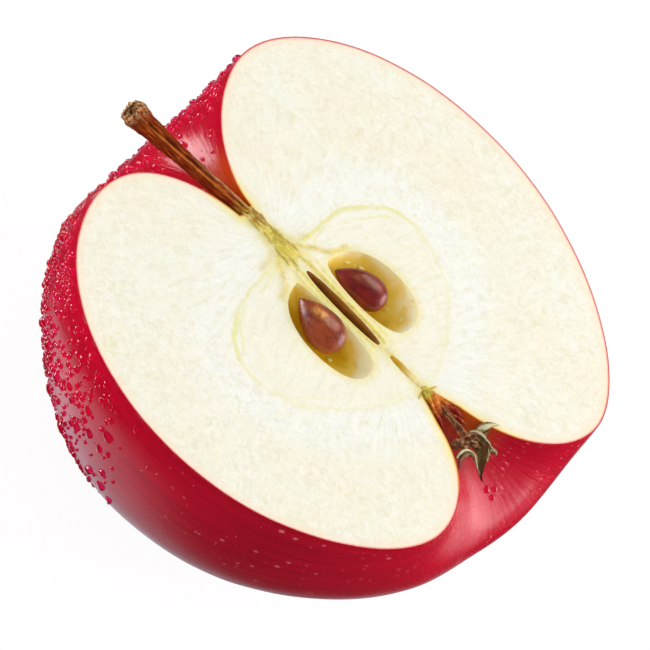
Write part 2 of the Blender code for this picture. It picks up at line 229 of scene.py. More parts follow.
# Glows that only glossy rays see: colour, then edges, each a direction with the shares of it at which the
# glow starts and is full.
WORLD_GLOWS = (
    (
        (0.92, 1.04, 1.16),
        (((1.0, 0.0, 0.0), -0.54, -0.40), ((-1.0, 0.0, 0.0), -0.30, 0.34), ((0.0, 0.0, -1.0), 0.82, 0.93)),
    ),
    ((1.10, 1.00, 1.00), (((0.64, 0.74, -0.20), 0.92, 0.99),)),
    ((0.62, 0.68, 0.76), (((-0.03, 0.68, -0.73), 0.93, 0.995),)),
    ((3.6, 3.1, 2.5), (((-0.03, 0.68, 0.73), 0.88, 0.98),)),
)
# Each soft box: direction, distance, width, height, radiance, whether it lights and whether it glints.
SOFTBOXES = (
    ("light_calyx_side", (0.819, 0.435, 0.375), 0.8, 0.65, 0.75, 4.5, True, False),
    ("light_stem_side", (-0.95, -0.30, 0.10), 0.8, 0.6, 0.6, 4.2, True, False),
    ("glint_stem_side", (-1.0, 0.03, 0.03), 0.7, 0.62, 0.34, 9.0, False, True),
    ("glint_calyx_side", (0.80, 0.54, 0.18), 0.8, 0.54, 0.62, 3.6, False, True),
)
CAMERA_TILT = math.radians(42.58)
CAMERA_SWING = math.radians(1.48)
CAMERA_ROLL = math.radians(45.31)
CAMERA_TARGET = (0.13, -2.2, -2.04)
CAMERA_DISTANCE = 1.0
CAMERA_LENS = 439.6

SKIN_ROWS = 220
SKIN_STEPS = (40, 54, 58, 48, 12)
# The cut face's points, finest first: the spacing, and the low and high corner of the zone.
CUT_ZONES = (
    (0.18, ((-12.5, -3.4), (8.6, 5.2))),
    (0.36, ((-18.5, -13.5), (17.0, 14.0))),
    (0.80, ((-36.0, -38.5), (36.0, 41.5))),
)


# ---------------------------------------------------------------- the apple's outline
def at_azimuth(values, azimuth):
    """Blends far, underside and near values smoothly round the core."""
    far, under, near = values
    middle = (far + near) / 2
    return middle + (far - near) / 2 * np.cos(azimuth) + (under - middle) * np.sin(azimuth)


def outlines(azimuth):
    """The (x, radius) outline at each azimuth, from the pit floor's rim to the end of the calyx tube."""
    shoulder_x, shoulder_r = at_azimuth(SHOULDER_X, azimuth), at_azimuth(SHOULDER_RADIUS, azimuth)
    rise, reach = at_azimuth(UPPER_CHEEK_RISE, azimuth), at_azimuth(UPPER_CHEEK_REACH, azimuth)
    cheek_r = at_azimuth(CHEEK_RADIUS, azimuth)
    base_x = at_azimuth(BASE_X, azimuth) + RIB_HEIGHT * np.cos(5 * (azimuth - RIB_AZIMUTH))
    base_r = at_azimuth(BASE_RADIUS, azimuth)
    corners = (
        (PIT_DEPTH_X, PIT_RADIUS),
        (PIT_DEPTH_X - PIT_PULL[0], PIT_RADIUS + PIT_PULL[1]),
        (shoulder_x, shoulder_r - SHOULDER_PULL),
        (shoulder_x, shoulder_r),
        (shoulder_x, shoulder_r + rise * (cheek_r - shoulder_r)),
        (CHEEK_X - reach * (CHEEK_X - shoulder_x), cheek_r),
        (CHEEK_X, cheek_r),
        (CHEEK_X + LOWER_CHEEK_PULL[0] * (base_x - CHEEK_X), cheek_r),
        (base_x, base_r + LOWER_CHEEK_PULL[1] * (cheek_r - base_r)),
        (base_x, base_r),
        (base_x, base_r - BASIN_PULL[0] * (base_r - BASIN_RADIUS)),
        (BASIN_X + BASIN_PULL[1] * (base_x - BASIN_X), BASIN_RADIUS + BASIN_PULL[2]),
        (BASIN_X, BASIN_RADIUS),
        ((BASIN_X + TUBE_END_X) / 2, (BASIN_RADIUS + TUBE_END_RADIUS) / 2),
        ((BASIN_X + TUBE_END_X) / 2, (BASIN_RADIUS + TUBE_END_RADIUS) / 2),
        (TUBE_END_X, TUBE_END_RADIUS),
    )
    corners = [np.stack(np.broadcast_arrays(*c, azimuth)[:2], axis=-1)[:, None, :] for c in corners]
    parts = corners[:1]
    for stretch, steps in enumerate(SKIN_STEPS):
        start, leave, arrive, end = corners[3 * stretch:3 * stretch + 4]
        t = (np.arange(1, steps + 1) / steps)[None, :, None]
        u = 1 - t
        parts.append(u ** 3 * start + 3 * u * u * t * leave + 3 * u * t * t * arrive + t ** 3 * end)
    return np.concatenate(parts, axis=1)


def round_core(azimuth, x, radius):
    """Points (azimuths, steps, 3) at these distances from the core's axis."""
    turn = azimuth[:, None]
    return np.stack((x, radius * np.cos(turn), -radius * np.sin(turn)), axis=-1)


def frame_offset():
    """The core's zero point in the frame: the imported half's box against this outline's own reach."""
    azimuth = np.linspace(0, math.pi, SKIN_ROWS + 1)
    line = outlines(azimuth)
    reach = round_core(azimuth, line[..., 0], line[..., 1]).max(axis=(0, 1))
    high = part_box("apple_half")[1]
    return np.array((high.x / MM - reach[0], high.y / MM - reach[1], high.z / MM))


OFFSET = frame_offset()


def to_frame(points):
    """Millimetres on the core's axes to metres in the frame."""
    return (np.asarray(points, float) + OFFSET) * MM


# ---------------------------------------------------------------- helpers for meshes
class Mesh:
    """Points and faces gathered stretch by stretch, with a material number for each face."""

    def __init__(self):
        self.points, self.faces, self.kinds, self.values = [], [], [], []
        self.count = 0

    def add(self, points, faces, kind=0, **values):
        """Faces count from the first new point; values go to the materials, 0 where a stretch has none."""
        self.points.append(np.asarray(points, float))
        self.faces += [tuple(int(i) + self.count for i in face) for face in faces]
        self.kinds += [kind] * len(faces)
        self.values.append(values)
        self.count += len(points)

    def build(self, name, materials, crease=None):
        """The object; with a crease angle it is welded, turned outwards and sharp at such edges."""
        mesh = bpy.data.meshes.new(name)
        mesh.from_pydata(to_frame(np.concatenate(self.points)).tolist(), [], self.faces)
        for each in materials:
            mesh.materials.append(each)
        mesh.polygons.foreach_set("material_index", np.asarray(self.kinds, np.int32))
        for key in sorted(set().union(*self.values)):
            stretches = [np.broadcast_to(v.get(key, 0), len(p)) for v, p in zip(self.values, self.points)]
            attribute = mesh.attributes.new(key, "FLOAT", "POINT")
            attribute.data.foreach_set("value", np.concatenate(stretches).astype(np.float32))
        if crease:
            welded = bmesh.new()
            welded.from_mesh(mesh)
            bmesh.ops.remove_doubles(welded, verts=welded.verts, dist=2e-7)
            bmesh.ops.recalc_face_normals(welded, faces=welded.faces)
            welded.to_mesh(mesh)
            welded.free()
        mesh.shade_smooth()
        if crease:
            mesh.set_sharp_from_angle(angle=math.radians(crease))
        new = bpy.data.objects.new(name, mesh)
        bpy.context.scene.collection.objects.link(new)
        return new


def ring_faces(count, first, second):
    """Quads between two closed rings of the same number of vertices."""
    return [(first + i, first + (i + 1) % count, second + (i + 1) % count, second + i) for i in range(count)]


def fan_faces(count, first, centre):
    """Triangles from a closed ring to one vertex."""
    return [(first + i, first + (i + 1) % count, centre) for i in range(count)]


def tube_faces(rows, count):
    """Faces over rings of vertices, then a vertex that closes the first ring and one that closes the last."""
    faces = [face[::-1] for face in fan_faces(count, 0, rows * count)]
    for row in range(rows - 1):
        faces += ring_faces(count, row * count, (row + 1) * count)
    return faces + fan_faces(count, (rows - 1) * count, rows * count + 1)


def ring_turns(count):
    """Even angles round a ring."""
    return 2 * math.pi * np.arange(count) / count


def smoothstep(low, high, value):
    t = np.clip((np.asarray(value, float) - low) / (high - low), 0, 1)
    return t * t * (3 - 2 * t)


def bumps(points, scale, seed):
    """Smooth noise from -1 to 1 at each point; scale is the size of a bump in millimetres."""
    return np.array([noise.noise(Vector(p) / scale + Vector((seed, seed * 1.7, seed * 0.3))) for p in points])


def wobble(points, scale, seed):
    """Smooth noise in all three directions."""
    return np.column_stack([bumps(points, scale, seed + k) for k in range(3)])


def turned(points, angle):
    """Points turned about the vertical."""
    cosine, sine = math.cos(angle), math.sin(angle)
    return points @ np.array(((cosine, sine, 0), (-sine, cosine, 0), (0, 0, 1)))


def curve(corners, count):
    """Points of one Bezier curve through its first and last corners."""
    corners = np.asarray(corners, float)
    t = np.linspace(0, 1, count)[:, None]
    degree = len(corners) - 1
    return sum(math.comb(degree, i) * t ** i * (1 - t) ** (degree - i) * c for i, c in enumerate(corners))


def frames_along(line, hint):
    """Tangent, side and upward directions at each point of a line; hint leans the upward one."""
    tangent = np.gradient(line, axis=0)
    tangent /= np.linalg.norm(tangent, axis=1, keepdims=True)
    side = np.cross(np.broadcast_to(np.asarray(hint, float), tangent.shape), tangent)
    side /= np.linalg.norm(side, axis=1, keepdims=True)
    return tangent, side, np.cross(tangent, side)


# ---------------------------------------------------------------- the cut face
def pocket_loop(side, sizes, count=110):
    """The half-moon opening of a seed pocket in the cut face, and the point under which it is deepest."""
    middle, half_length, inner, stem_end, calyx_end, outer, _ = sizes
    turn = ring_turns(count)
    sine = np.sin(turn)
    longest = (stem_end + calyx_end) / 2 + (calyx_end - stem_end) / 2 * np.cos(turn)
    reach = np.where(sine > 0, outer - longest, longest - inner)
    across = reach * np.sign(sine) * np.abs(sine) ** POCKET_BLUNTNESS
    x = middle + half_length * np.cos(turn) + POCKET_LEAN * np.maximum(sine, 0)
    deepest = np.array([[middle, side * (stem_end + calyx_end) / 2]])
    return np.column_stack((x, side * (longest + across))), deepest


def spindle_loop(ends, width, bluntness, count=90):
    """A long narrow opening and the middle line below it; the less bluntness, the rounder its ends."""
    turn = ring_turns(count)
    share = (1 - np.cos(turn)) / 2
    x = ends[0] + (ends[1] - ends[0]) * share
    half = width / 2 * np.sin(math.pi * share) ** bluntness
    y = CORE_MIDDLE_Y + half * np.sign(np.sin(turn))
    return np.column_stack((x, y)), np.column_stack((x, np.full(count, CORE_MIDDLE_Y)))


def inside(points, polygon):
    """Which points lie inside a closed polygon."""
    x, y = points[:, 0][:, None], points[:, 1][:, None]
    x0, y0 = polygon[:, 0][None], polygon[:, 1][None]
    x1, y1 = np.roll(x0, -1), np.roll(y0, -1)
    rise = np.where(y1 == y0, 1e-12, y1 - y0)
    crosses = ((y0 > y) != (y1 > y)) & (x < (x1 - x0) * (y - y0) / rise + x0)
    return crosses.sum(axis=1) % 2 == 1


def in_face(points, outer, holes):
    """Which points lie inside the cut face's edge and in none of its openings."""
    return inside(points, outer) & ~np.any([inside(points, hole) for hole in holes], axis=0)


def nearest(points, line, closed=True):
    """Each point's distance to a polyline."""
    ends = np.roll(line, -1, axis=0) if closed else line[1:]
    best = np.full(len(points), np.inf)
    for start, end in zip(line, ends):
        along = end - start
        share = np.clip(((points - start) @ along) / max(along @ along, 1e-12), 0, 1)
        best = np.minimum(best, np.linalg.norm(points - (start + share[:, None] * along), axis=1))
    return best


def scatter_flat(outer, holes, spacing, zone, finer_zone):
    """Jittered points over a zone of the cut face, but for a finer zone in it, and clear of its edges."""
    (x_low, y_low), (x_high, y_high) = zone
    across = np.arange(x_low, x_high, spacing)
    along = np.arange(y_low, y_high, spacing * 0.87)
    grid = np.array([(x + (row % 2) * spacing / 2, y) for row, y in enumerate(along) for x in across])
    grid += rng.uniform(-0.28, 0.28, grid.shape) * spacing
    grid = grid[in_face(grid, outer, holes)]
    if finer_zone:
        grid = grid[~((grid > finer_zone[0]) & (grid < finer_zone[1])).all(axis=1)]
    clear = np.min([nearest(grid, loop) for loop in (outer, *holes)], axis=0)
    return grid[clear > spacing * 0.45]


def core_line():
    """The faint closed line where the core meets the outer flesh."""
    turn = np.linspace(0, 2 * math.pi, 240, endpoint=False)
    cosine, sine = np.cos(turn), np.sin(turn)
    to_calyx, to_stem = CORE_LINE_CALYX * np.abs(cosine) ** 1.05, -CORE_LINE_STEM * np.abs(cosine) ** 0.7
    x = CORE_LINE_X + np.where(cosine > 0, to_calyx, to_stem)
    bluntness = np.where(cosine > 0, np.where(sine > 0, 1.15, 1.5), 0.75)
    return np.column_stack((x, CORE_LINE_SIDE * np.sign(sine) * np.abs(sine) ** bluntness))


def trunk_strength(points):
    """How strongly the yellow strands from the stem show at each point of the cut face, from 0 to 1."""
    x, y = points[:, 0], points[:, 1]
    width = 1.15 + 0.4 * smoothstep(-16, -11, x) + 0.6 * smoothstep(-11.5, -8.0, x)
    strength = np.exp(-np.abs((y - CORE_MIDDLE_Y) / width) ** 2.4)
    strength *= smoothstep(-6.6, -9.5, x) * smoothstep(-20.0, -17.0, x)
    for path, weight, width in STRANDS:
        distance = nearest(points, np.array(path), closed=False)
        strength = np.maximum(strength, weight * np.exp(-(distance / width) ** 2))
    return np.clip(strength, 0, 1)


def glow_strength(points):
    """The wide soft yellow tint round the strands, from 0 to 1."""
    x, y = points[:, 0], points[:, 1]
    width = 2.0 + 1.6 * smoothstep(-14, -9, x)
    trunk = np.exp(-((y - CORE_MIDDLE_Y + 0.3) / width) ** 2)
    trunk *= smoothstep(-6.0, -10.5, x) * smoothstep(-20.0, -16.0, x)
    walls = np.exp(-((np.abs(y - CORE_MIDDLE_Y) - 1.6) / 0.9) ** 2)
    walls *= smoothstep(-9, -6, x) * smoothstep(10, 6, x)
    return np.clip(trunk + 0.95 * walls, 0, 1)


def flesh_values(points):
    """What the flesh's colours depend on, at points of the cut face and of the skin that meets it."""
    flat = points[:, :2]
    close = np.abs(flat[:, 1])
    # Fibres run from the core out to the skin and fan at its ends.
    anchor = np.clip(flat[:, 0] - 0.35 * close, -11.0, 9.0)
    sideways = flat - np.column_stack((anchor, np.zeros(len(flat))))
    angle = np.arctan2(sideways[:, 0], close) * 16.0 + anchor
    return {
        "trunk": trunk_strength(flat),
        "glow": glow_strength(flat),
        "stem_rim": smoothstep(-25, -19, flat[:, 0]) * (1 - smoothstep(2.5, 4.5, close)),
        "calyx_rim": smoothstep(15, 16.5, flat[:, 0]) * (1 - smoothstep(4.0, 9.0, close)),
        "fibre_across": angle + np.where(flat[:, 1] > 0, 200.0, 0.0),
        "fibre_along": np.linalg.norm(sideways, axis=1),
    }


# ---------------------------------------------------------------- the half itself
def uneven_skin(azimuth):
    """The skin grid with the small hollows and swellings of a grown fruit, flattened where it rests."""
    line = outlines(azimuth)
    x, radius = line[..., 0], line[..., 1]
    tangent = np.gradient(line, axis=1)
    normal = np.stack((-tangent[..., 1], tangent[..., 0]), axis=-1)
    normal /= np.linalg.norm(normal, axis=-1, keepdims=True) + 1e-12
    flat = round_core(azimuth, x, radius).reshape(-1, 3)
    lift = 0.16 * bumps(flat, 15.0, 3) + 0.05 * bumps(flat, 5.0, 8)
    lift = lift.reshape(x.shape) * smoothstep(2.0, 9.0, radius)
    grid = round_core(azimuth, x + normal[..., 0] * lift, radius + normal[..., 1] * lift)
    grid[[0, -1], :, 2] = 0.0
    grid[..., 2] = np.maximum(grid[..., 2], -REST_DEPTH)
    return grid


def add_skin(mesh):
    """The skin, closed at the pit's floor and at the tube's end; returns the edge that the cut face fills."""
    azimuth = np.linspace(0, math.pi, SKIN_ROWS + 1)
    grid = uneven_skin(azimuth)
    rows, columns = grid.shape[:2]
    pit_floor = rows * columns
    faces = []
    for row in range(rows - 1):
        for a in range(row * columns, (row + 1) * columns - 1):
            faces.append((a, a + columns, a + columns + 1, a + 1))
    for row in range(rows - 1):
        faces.append((row * columns, (row + 1) * columns, pit_floor))
        faces.append(((row + 1) * columns - 1, pit_floor + 1, (row + 2) * columns - 1))
    steps = np.linalg.norm(np.diff(grid, axis=1), axis=2)
    along = np.concatenate((np.zeros((rows, 1)), np.cumsum(steps, axis=1)), axis=1)
    along *= (along[rows // 2, -1] / along[:, -1])[:, None]
    column = np.tile(np.arange(columns), rows) / (columns - 1)
    pit_end = SKIN_STEPS[0] / (columns - 1)
    tube_start = 1 - (SKIN_STEPS[3] + SKIN_STEPS[4]) / (columns - 1)
    ends = np.array(((PIT_DEPTH_X + 0.4, 0, 0), (TUBE_END_X, 0, 0)))
    points = np.concatenate((grid.reshape(-1, 3), ends))
    mesh.add(
        points,
        faces,
        along=np.append(along, (0, along.max())),
        around=np.append(np.repeat(azimuth, columns), (0, 0)),
        pit=np.append(1 - smoothstep(0.10 * pit_end, 0.75 * pit_end, column), (1, 0)),
        tube=np.append(smoothstep(tube_start + 0.14, tube_start + 0.21, column), (0, 1)),
        opening=20,
        core=20,
        **flesh_values(points),
    )
    return np.concatenate((ends[:1], grid[0], ends[1:], grid[-1, ::-1]))[:, :2]


def add_cut_face(mesh, outer, loops):
    """The cut face, triangulated between its outer edge and the openings in it, finer near the core."""
    flat = [outer, *loops]
    edges = []
    start = 0
    for loop in flat:
        edges += [(start + i, start + (i + 1) % len(loop)) for i in range(len(loop))]
        start += len(loop)
    finer_zone = None
    for spacing, zone in CUT_ZONES:
        flat.append(scatter_flat(outer, loops, spacing, zone, finer_zone))
        finer_zone = zone
    found = delaunay_2d_cdt([Vector(p) for p in np.concatenate(flat).tolist()], edges, [], 0, 1e-7)
    flat = np.array([tuple(v) for v in found[0]])
    triangles = np.array(found[2])
    triangles = triangles[in_face(flat[triangles].mean(axis=1), outer, loops)]
    first, second, third = flat[triangles].transpose(1, 0, 2)
    turn = np.cross(second - first, third - first)
    triangles[turn < 0] = triangles[turn < 0][:, ::-1]
    edge = nearest(flat, outer)
    opening = np.min([nearest(flat, loop) for loop in loops], axis=0)
    values = flesh_values(flat)
    spots = np.column_stack((flat, np.zeros(len(flat))))
    relief = 0.035 * bumps(spots, 6.0, 21) + 0.02 * bumps(spots, 1.3, 22)
    relief += values["trunk"] * (0.16 * bumps(spots, 0.9, 23) + 0.12)
    walls = np.exp(-((np.abs(flat[:, 1] - CORE_MIDDLE_Y) - 1.5) / 0.5) ** 2)
    relief += 0.1 * walls * (np.abs(flat[:, 0]) < 7)
    relief *= smoothstep(0.0, 0.35, np.minimum(edge, opening))
    line = core_line()
    core = np.where(inside(flat, line), -1, 1) * nearest(flat, line)
    mesh.add(np.column_stack((flat, relief)), triangles, 1, edge=edge, opening=opening, core=core, **values)


def add_hollow(mesh, kind, loop, middle, depth, narrowest, levels):
    """Carries an opening on down as a rounded hollow to one deepest point, or to a narrow floor."""
    count = len(loop)
    rings, shares, faces = [], [], []
    for level in range(levels + 1 if narrowest else levels):
        angle = level / levels * math.pi / 2
        flat = middle + (loop - middle) * (narrowest + (1 - narrowest) * math.cos(angle))
        ring = np.column_stack((flat, np.full(count, -depth * math.sin(angle))))
        if level:
            ring += 0.12 * math.sin(2 * angle) * wobble(ring, 2.2, 31 + kind)
            faces += ring_faces(count, (level - 1) * count, level * count)
        rings.append(ring)
        shares.append(np.full(count, math.sin(angle)))
    last = (len(rings) - 1) * count
    if narrowest:
        for i in range(count // 2):
            a, b = last + i, last + i + 1
            c, d = last + (count - i) % count, last + (count - i - 1) % count
            faces.append((a, b, d) if a == c else (a, b, c) if b == d else (a, b, d, c))
    else:
        rings.append(np.column_stack((middle, [-depth])))
        shares.append(np.ones(1))
        faces += fan_faces(count, last, last + count)
    step = np.roll(loop, -1, axis=0) - loop
    clockwise = (loop[:, 0] * step[:, 1] - loop[:, 1] * step[:, 0]).sum() < 0
    faces = [f if clockwise else f[::-1] for f in faces]
    mesh.add(np.concatenate(rings), faces, kind, edge=20, core=-8, deep=np.concatenate(shares))


def build_half(materials):
    """The apple half as one closed mesh: skin, cut face, seed pockets, slit, canal and calyx tube."""
    openings = (
        (2, *pocket_loop(-1, NEAR_POCKET), NEAR_POCKET[-1], 0.0, 26),
        (2, *pocket_loop(1, FAR_POCKET), FAR_POCKET[-1], 0.0, 26),
        (3, *spindle_loop(SLIT_X, SLIT_WIDTH, SLIT_ENDS), SLIT_DEPTH, 0.45, 14),
        (4, *spindle_loop(CANAL_X, CANAL_WIDTH, CANAL_ENDS), CANAL_DEPTH, 0.35, 8),
    )
    mesh = Mesh()
    add_cut_face(mesh, add_skin(mesh), [opening[1] for opening in openings])
    for opening in openings:
        add_hollow(mesh, *opening)
    return mesh.build("apple_half_body", materials, 42)


# ---------------------------------------------------------------- stem, strands and sepals
def build_stem(materials):
    """The woody stem: grooved along its length, flared and broken open at its free end."""
    rows, count, inner = 230, 150, 12
    line = curve((STEM_BASE, STEM_BOW, STEM_TIP), rows)
    tangent, side, up = frames_along(line, (0, 0, 1))
    share = np.linspace(0, 1, rows)
    turn = ring_turns(count)
    ring = np.column_stack((np.cos(turn), np.sin(turn)))

    def bark(spread, level, seed):
        """Noise round one ring; the larger spread, the finer it is."""
        return bumps(np.column_stack((ring * spread, np.full(count, level))), 1.0, seed)

    ridges = np.array([bark(2.4, s * 5.0, 51) for s in share])
    grain = np.array([bark(5.5, s * 9.0, 52) for s in share])
    knobs = np.array([bark(1.6, s * 26.0, 53) for s in share])
    along = share[:, None]
    groove = np.exp(-((turn[None] - GROOVE_ANGLE - 0.25 * np.sin(5 * along)) / 0.2) ** 2)
    flare = smoothstep(0.80, 1.0, along)
    shape = 1 + 0.10 * (1 - 2 * np.abs(ridges)) + 0.05 * grain + (0.04 + 0.30 * flare) * knobs
    shape -= 0.20 * groove * smoothstep(0.15, 0.4, along) * (1 - flare)
    shape *= 1 - 0.16 * smoothstep(0.975, 1.0, along)
    distance = np.interp(share, np.linspace(0, 1, len(STEM_RADII)), STEM_RADII)[:, None] * shape
    # The broken end is ragged: each groove and ridge stops at its own length.
    ragged = 0.34 * bark(2.2, 0.0, 54) - BREAK_SLANT * np.cos(turn - BREAK_ANGLE) + 0.22 * bark(6.0, 0.0, 55)
    shift = smoothstep(0.9, 1.0, along) * ragged[None]
    outside = line[:, None] + tangent[:, None] * shift[..., None]
    around = side[:, None] * ring[None, :, :1] + up[:, None] * ring[None, :, 1:]
    outside = outside + around * distance[..., None]
    # The hollow inside the broken end.
    tip, direction = line[-1], tangent[-1]
    cave = []
    for level in range(1, inner):
        angle = level / inner * math.pi / 2
        reach = distance[-1] * 0.80 * math.cos(angle) ** 0.8 * (1 + 0.30 * bark(3.0, level * 0.4, 56))
        back = ragged * (1 - level / inner) - HOLLOW_DEPTH * math.sin(angle)
        spread = (side[-1] * ring[:, :1] + up[-1] * ring[:, 1:]) * reach[:, None]
        cave.append(tip + direction * back[:, None] + spread)
    ends = [line[0] - tangent[0] * 0.2, tip - direction * HOLLOW_DEPTH]
    hollow = np.append(np.zeros(rows), np.linspace(0.3, 1, inner - 1))
    mesh = Mesh()
    mesh.add(
        np.concatenate([outside.reshape(-1, 3), *cave, ends]),
        tube_faces(rows + inner - 1, count),
        along=np.append(np.repeat(np.append(share, np.ones(inner - 1)), count), (0, 1)),
        around=np.append(np.tile(turn, rows + inner - 1), (0, 0)),
        hollow=np.append(np.repeat(hollow, count), (0, 1)),
        height=np.append(shape, np.ones((inner - 1) * count + 2)),
    )
    return mesh.build("stem_wood", materials, 65)


def build_strands(name, strands, materials):
    """Dry or fleshy threads as one piece, each with its corners, radius and roughness."""
    rows, sides = 40, 10
    turn = ring_turns(sides)
    ring = np.column_stack((np.cos(turn), np.sin(turn), np.zeros(sides)))
    swell = (np.sin(math.pi * np.clip(np.linspace(0, 1, rows), 0.02, 0.98)) ** 0.35)[:, None]
    mesh = Mesh()
    for number, (corners, radius, rough) in enumerate(strands):
        seed = 61 + number * 3
        line = curve(corners, rows)
        line = line + wobble(line, 1.1, seed) * radius * 0.8
        _, side, up = frames_along(line, (0.1, 0.2, 1))
        spots = np.repeat(line, sides, axis=0) * 2.5 + np.tile(ring, (rows, 1))
        reach = radius * swell * (1 + rough * bumps(spots, 1.0, seed + 7).reshape(rows, sides))
        offsets = side[:, None] * ring[None, :, :1] + up[:, None] * ring[None, :, 1:2]
        points = (line[:, None] + offsets * reach[..., None]).reshape(-1, 3)
        mesh.add(np.concatenate((points, line[[0, -1]])), tube_faces(rows, sides))
    return mesh.build(name, materials, 60)


def core_fibres():
    """Short fibres side by side in the trunk of the core, thickest where the stem ends."""
    fibres = []
    for _ in range(FIBRE_COUNT):
        share = rng.random() ** 1.5
        x = FIBRE_X[0] + (FIBRE_X[1] - FIBRE_X[0]) * share
        length = rng.uniform(*FIBRE_LENGTH)
        y = CORE_MIDDLE_Y + (0.75 + 0.7 * share) * rng.uniform(-1, 1)
        drift = y * 0.25 + rng.uniform(-0.3, 0.3)
        height = (0.36 - 0.30 * share) * rng.uniform(0.4, 1.0)
        radius = FIBRE_RADIUS[0] + (FIBRE_RADIUS[1] - FIBRE_RADIUS[0]) * rng.random() * (1 - 0.5 * share)
        corners = (
            (x, y, -0.05),
            (x + length * 0.3, y + rng.uniform(-0.25, 0.25), height),
            (x + length * 0.7, y + drift * 0.6, height * 0.8),
            (x + length, y + drift, -0.08),
        )
        fibres.append((corners, radius, 0.55))
    return fibres


def build_sepals(materials):
    """The dried sepals of the calyx: folded, curled leaves with thickness, as one piece."""
    rows, count = 60, 56
    share = np.linspace(0, 1, rows)
    turn = ring_turns(count)
    v = np.cos(turn)[None]
    half = np.tile(np.sign(v[0]), rows)
    edge = np.column_stack((np.repeat(share * 6, count), half, np.zeros(rows * count)))
    mesh = Mesh()
    for number, (corners, width, fold, facing, sepal_highlight) in enumerate(SEPALS):
        line = curve(corners, rows)
        _, side, up = frames_along(line, facing)
        reach = width / 2 * (1 - share) ** 0.75 * (0.75 + 0.6 * np.sin(math.pi * share) ** 1.2)
        reach = reach[:, None]
        width_here = reach * (1 + 0.22 * bumps(edge, 1.0, 90 + number).reshape(rows, count)) + 0.03
        thickness = SEPAL_THICKNESS * (1 - 0.6 * v ** 2) * (1 - 0.6 * share[:, None])
        lift = fold * reach * np.abs(v) ** 1.4 + thickness * np.sin(turn)
        body = line[:, None] + side[:, None] * (width_here * v)[..., None] + up[:, None] * lift[..., None]
        flat = body.reshape(-1, 3)
        flat = flat + 0.11 * wobble(flat, 0.8, 95)
        mesh.add(
            np.concatenate((flat, line[[0, -1]])),
            tube_faces(rows, count),
            across=np.append(np.tile(v[0], rows), (0, 0)),
            along=np.append(np.repeat(share, count), (0, 1)),
            pale=sepal_highlight,
        )
    return mesh.build("calyx_sepals", materials, 60)


# ---------------------------------------------------------------- seeds and crumbs
def build_seed(name, place, seed, materials):
    """A glossy pip: blunt towards the calyx, drawn out to a point towards the stem, slightly bent."""
    rows, count = 90, 96
    (length, width, thickness), middle, lean = place
    t = np.linspace(0, math.pi, rows + 2)[1:-1, None]
    turn = ring_turns(count)[None]
    swell = np.sin(t) ** 0.9 * np.cos(t / 2) ** 0.72
    swell /= swell.max()
    x = length / 2 * np.cos(t) + 0 * turn
    y = width / 2 * swell * np.cos(turn) * (1 + 0.05 * np.cos(turn) ** 4) + SEED_BEND * (x / length) ** 2
    z = thickness / 2 * swell * np.sin(turn)
    ends = [(length / 2, SEED_BEND / 4, 0), (-length / 2, SEED_BEND / 4, 0)]
    local = np.concatenate((np.stack((x, y, z), axis=-1).reshape(-1, 3), ends))
    radial = local * (0, 1, 1)
    radial /= np.linalg.norm(radial, axis=1, keepdims=True) + 1e-9
    lift = 0.07 * bumps(local, 1.8, seed) + 0.02 * bumps(local * (0.6, 2, 2), 0.7, seed + 1)
    local = local + radial * lift[:, None]
    mesh = Mesh()
    mesh.add(
        turned(local, lean) + np.array(middle),
        tube_faces(rows, count),
        along=(local[:, 0] + length / 2) / length,
        across=local[:, 1] / width * 2,
        top=local[:, 2] / thickness * 2,
    )
    return mesh.build(name, materials, 80)


def build_flakes(materials):
    """Small torn chips of flesh on the pocket walls."""
    rows, count = 9, 14
    t = np.linspace(0, math.pi, rows + 2)[1:-1, None]
    turn = ring_turns(count)[None]
    x, y, z = 1.3 * np.cos(t) + 0 * turn, 0.75 * np.sin(t) * np.cos(turn), 0.45 * np.sin(t) * np.sin(turn)
    body = np.concatenate((np.stack((x, y, z), axis=-1).reshape(-1, 3), [(1.3, 0, 0), (-1.3, 0, 0)]))
    mesh = Mesh()
    for number, (place, size, lean) in enumerate(FLAKES):
        chip = body * (1 + 0.45 * bumps(body, 0.9, 120 + 5 * number))[:, None]
        mesh.add(turned(chip, lean) * size + np.array(place), tube_faces(rows, count))
    return mesh.build("pocket_flakes", materials, 50)


# ---------------------------------------------------------------- water
def skin_places(count):
    """Random places over the skin, even by area: point, outward direction, share of the way to the tube."""
    grid = uneven_skin(np.linspace(0, math.pi, SKIN_ROWS + 1))
    normal = np.cross(np.gradient(grid, axis=1), np.gradient(grid, axis=0))
    area = np.linalg.norm(normal, axis=-1)
    normal /= area[..., None] + 1e-12
    weight = area[:-1, :-1].ravel()
    cells = rng.choice(len(weight), size=count, p=weight / weight.sum())
    row, column = np.unravel_index(cells, (grid.shape[0] - 1, grid.shape[1] - 1))
    u, v = rng.random((2, count, 1))
    first = grid[row, column] * (1 - v) + grid[row, column + 1] * v
    second = grid[row + 1, column] * (1 - v) + grid[row + 1, column + 1] * v
    return first * (1 - u) + second * u, normal[row, column], column / (grid.shape[1] - 1)


def spaced(places, radii, gap, taken):
    """Keeps each place that stands clear of those taken and of those kept before it, largest first."""
    kept = []
    spots = np.array([spot for spot, _ in taken]).reshape(-1, 3)
    sizes = np.array([size for _, size in taken])
    for index in np.argsort(-radii, kind="stable"):
        distance = np.linalg.norm(spots - places[index], axis=1)
        if (distance < (sizes + radii[index]) * gap).any():
            continue
        kept.append(index)
        spots = np.vstack((spots, places[index]))
        sizes = np.append(sizes, radii[index])
    return np.array(kept, int)


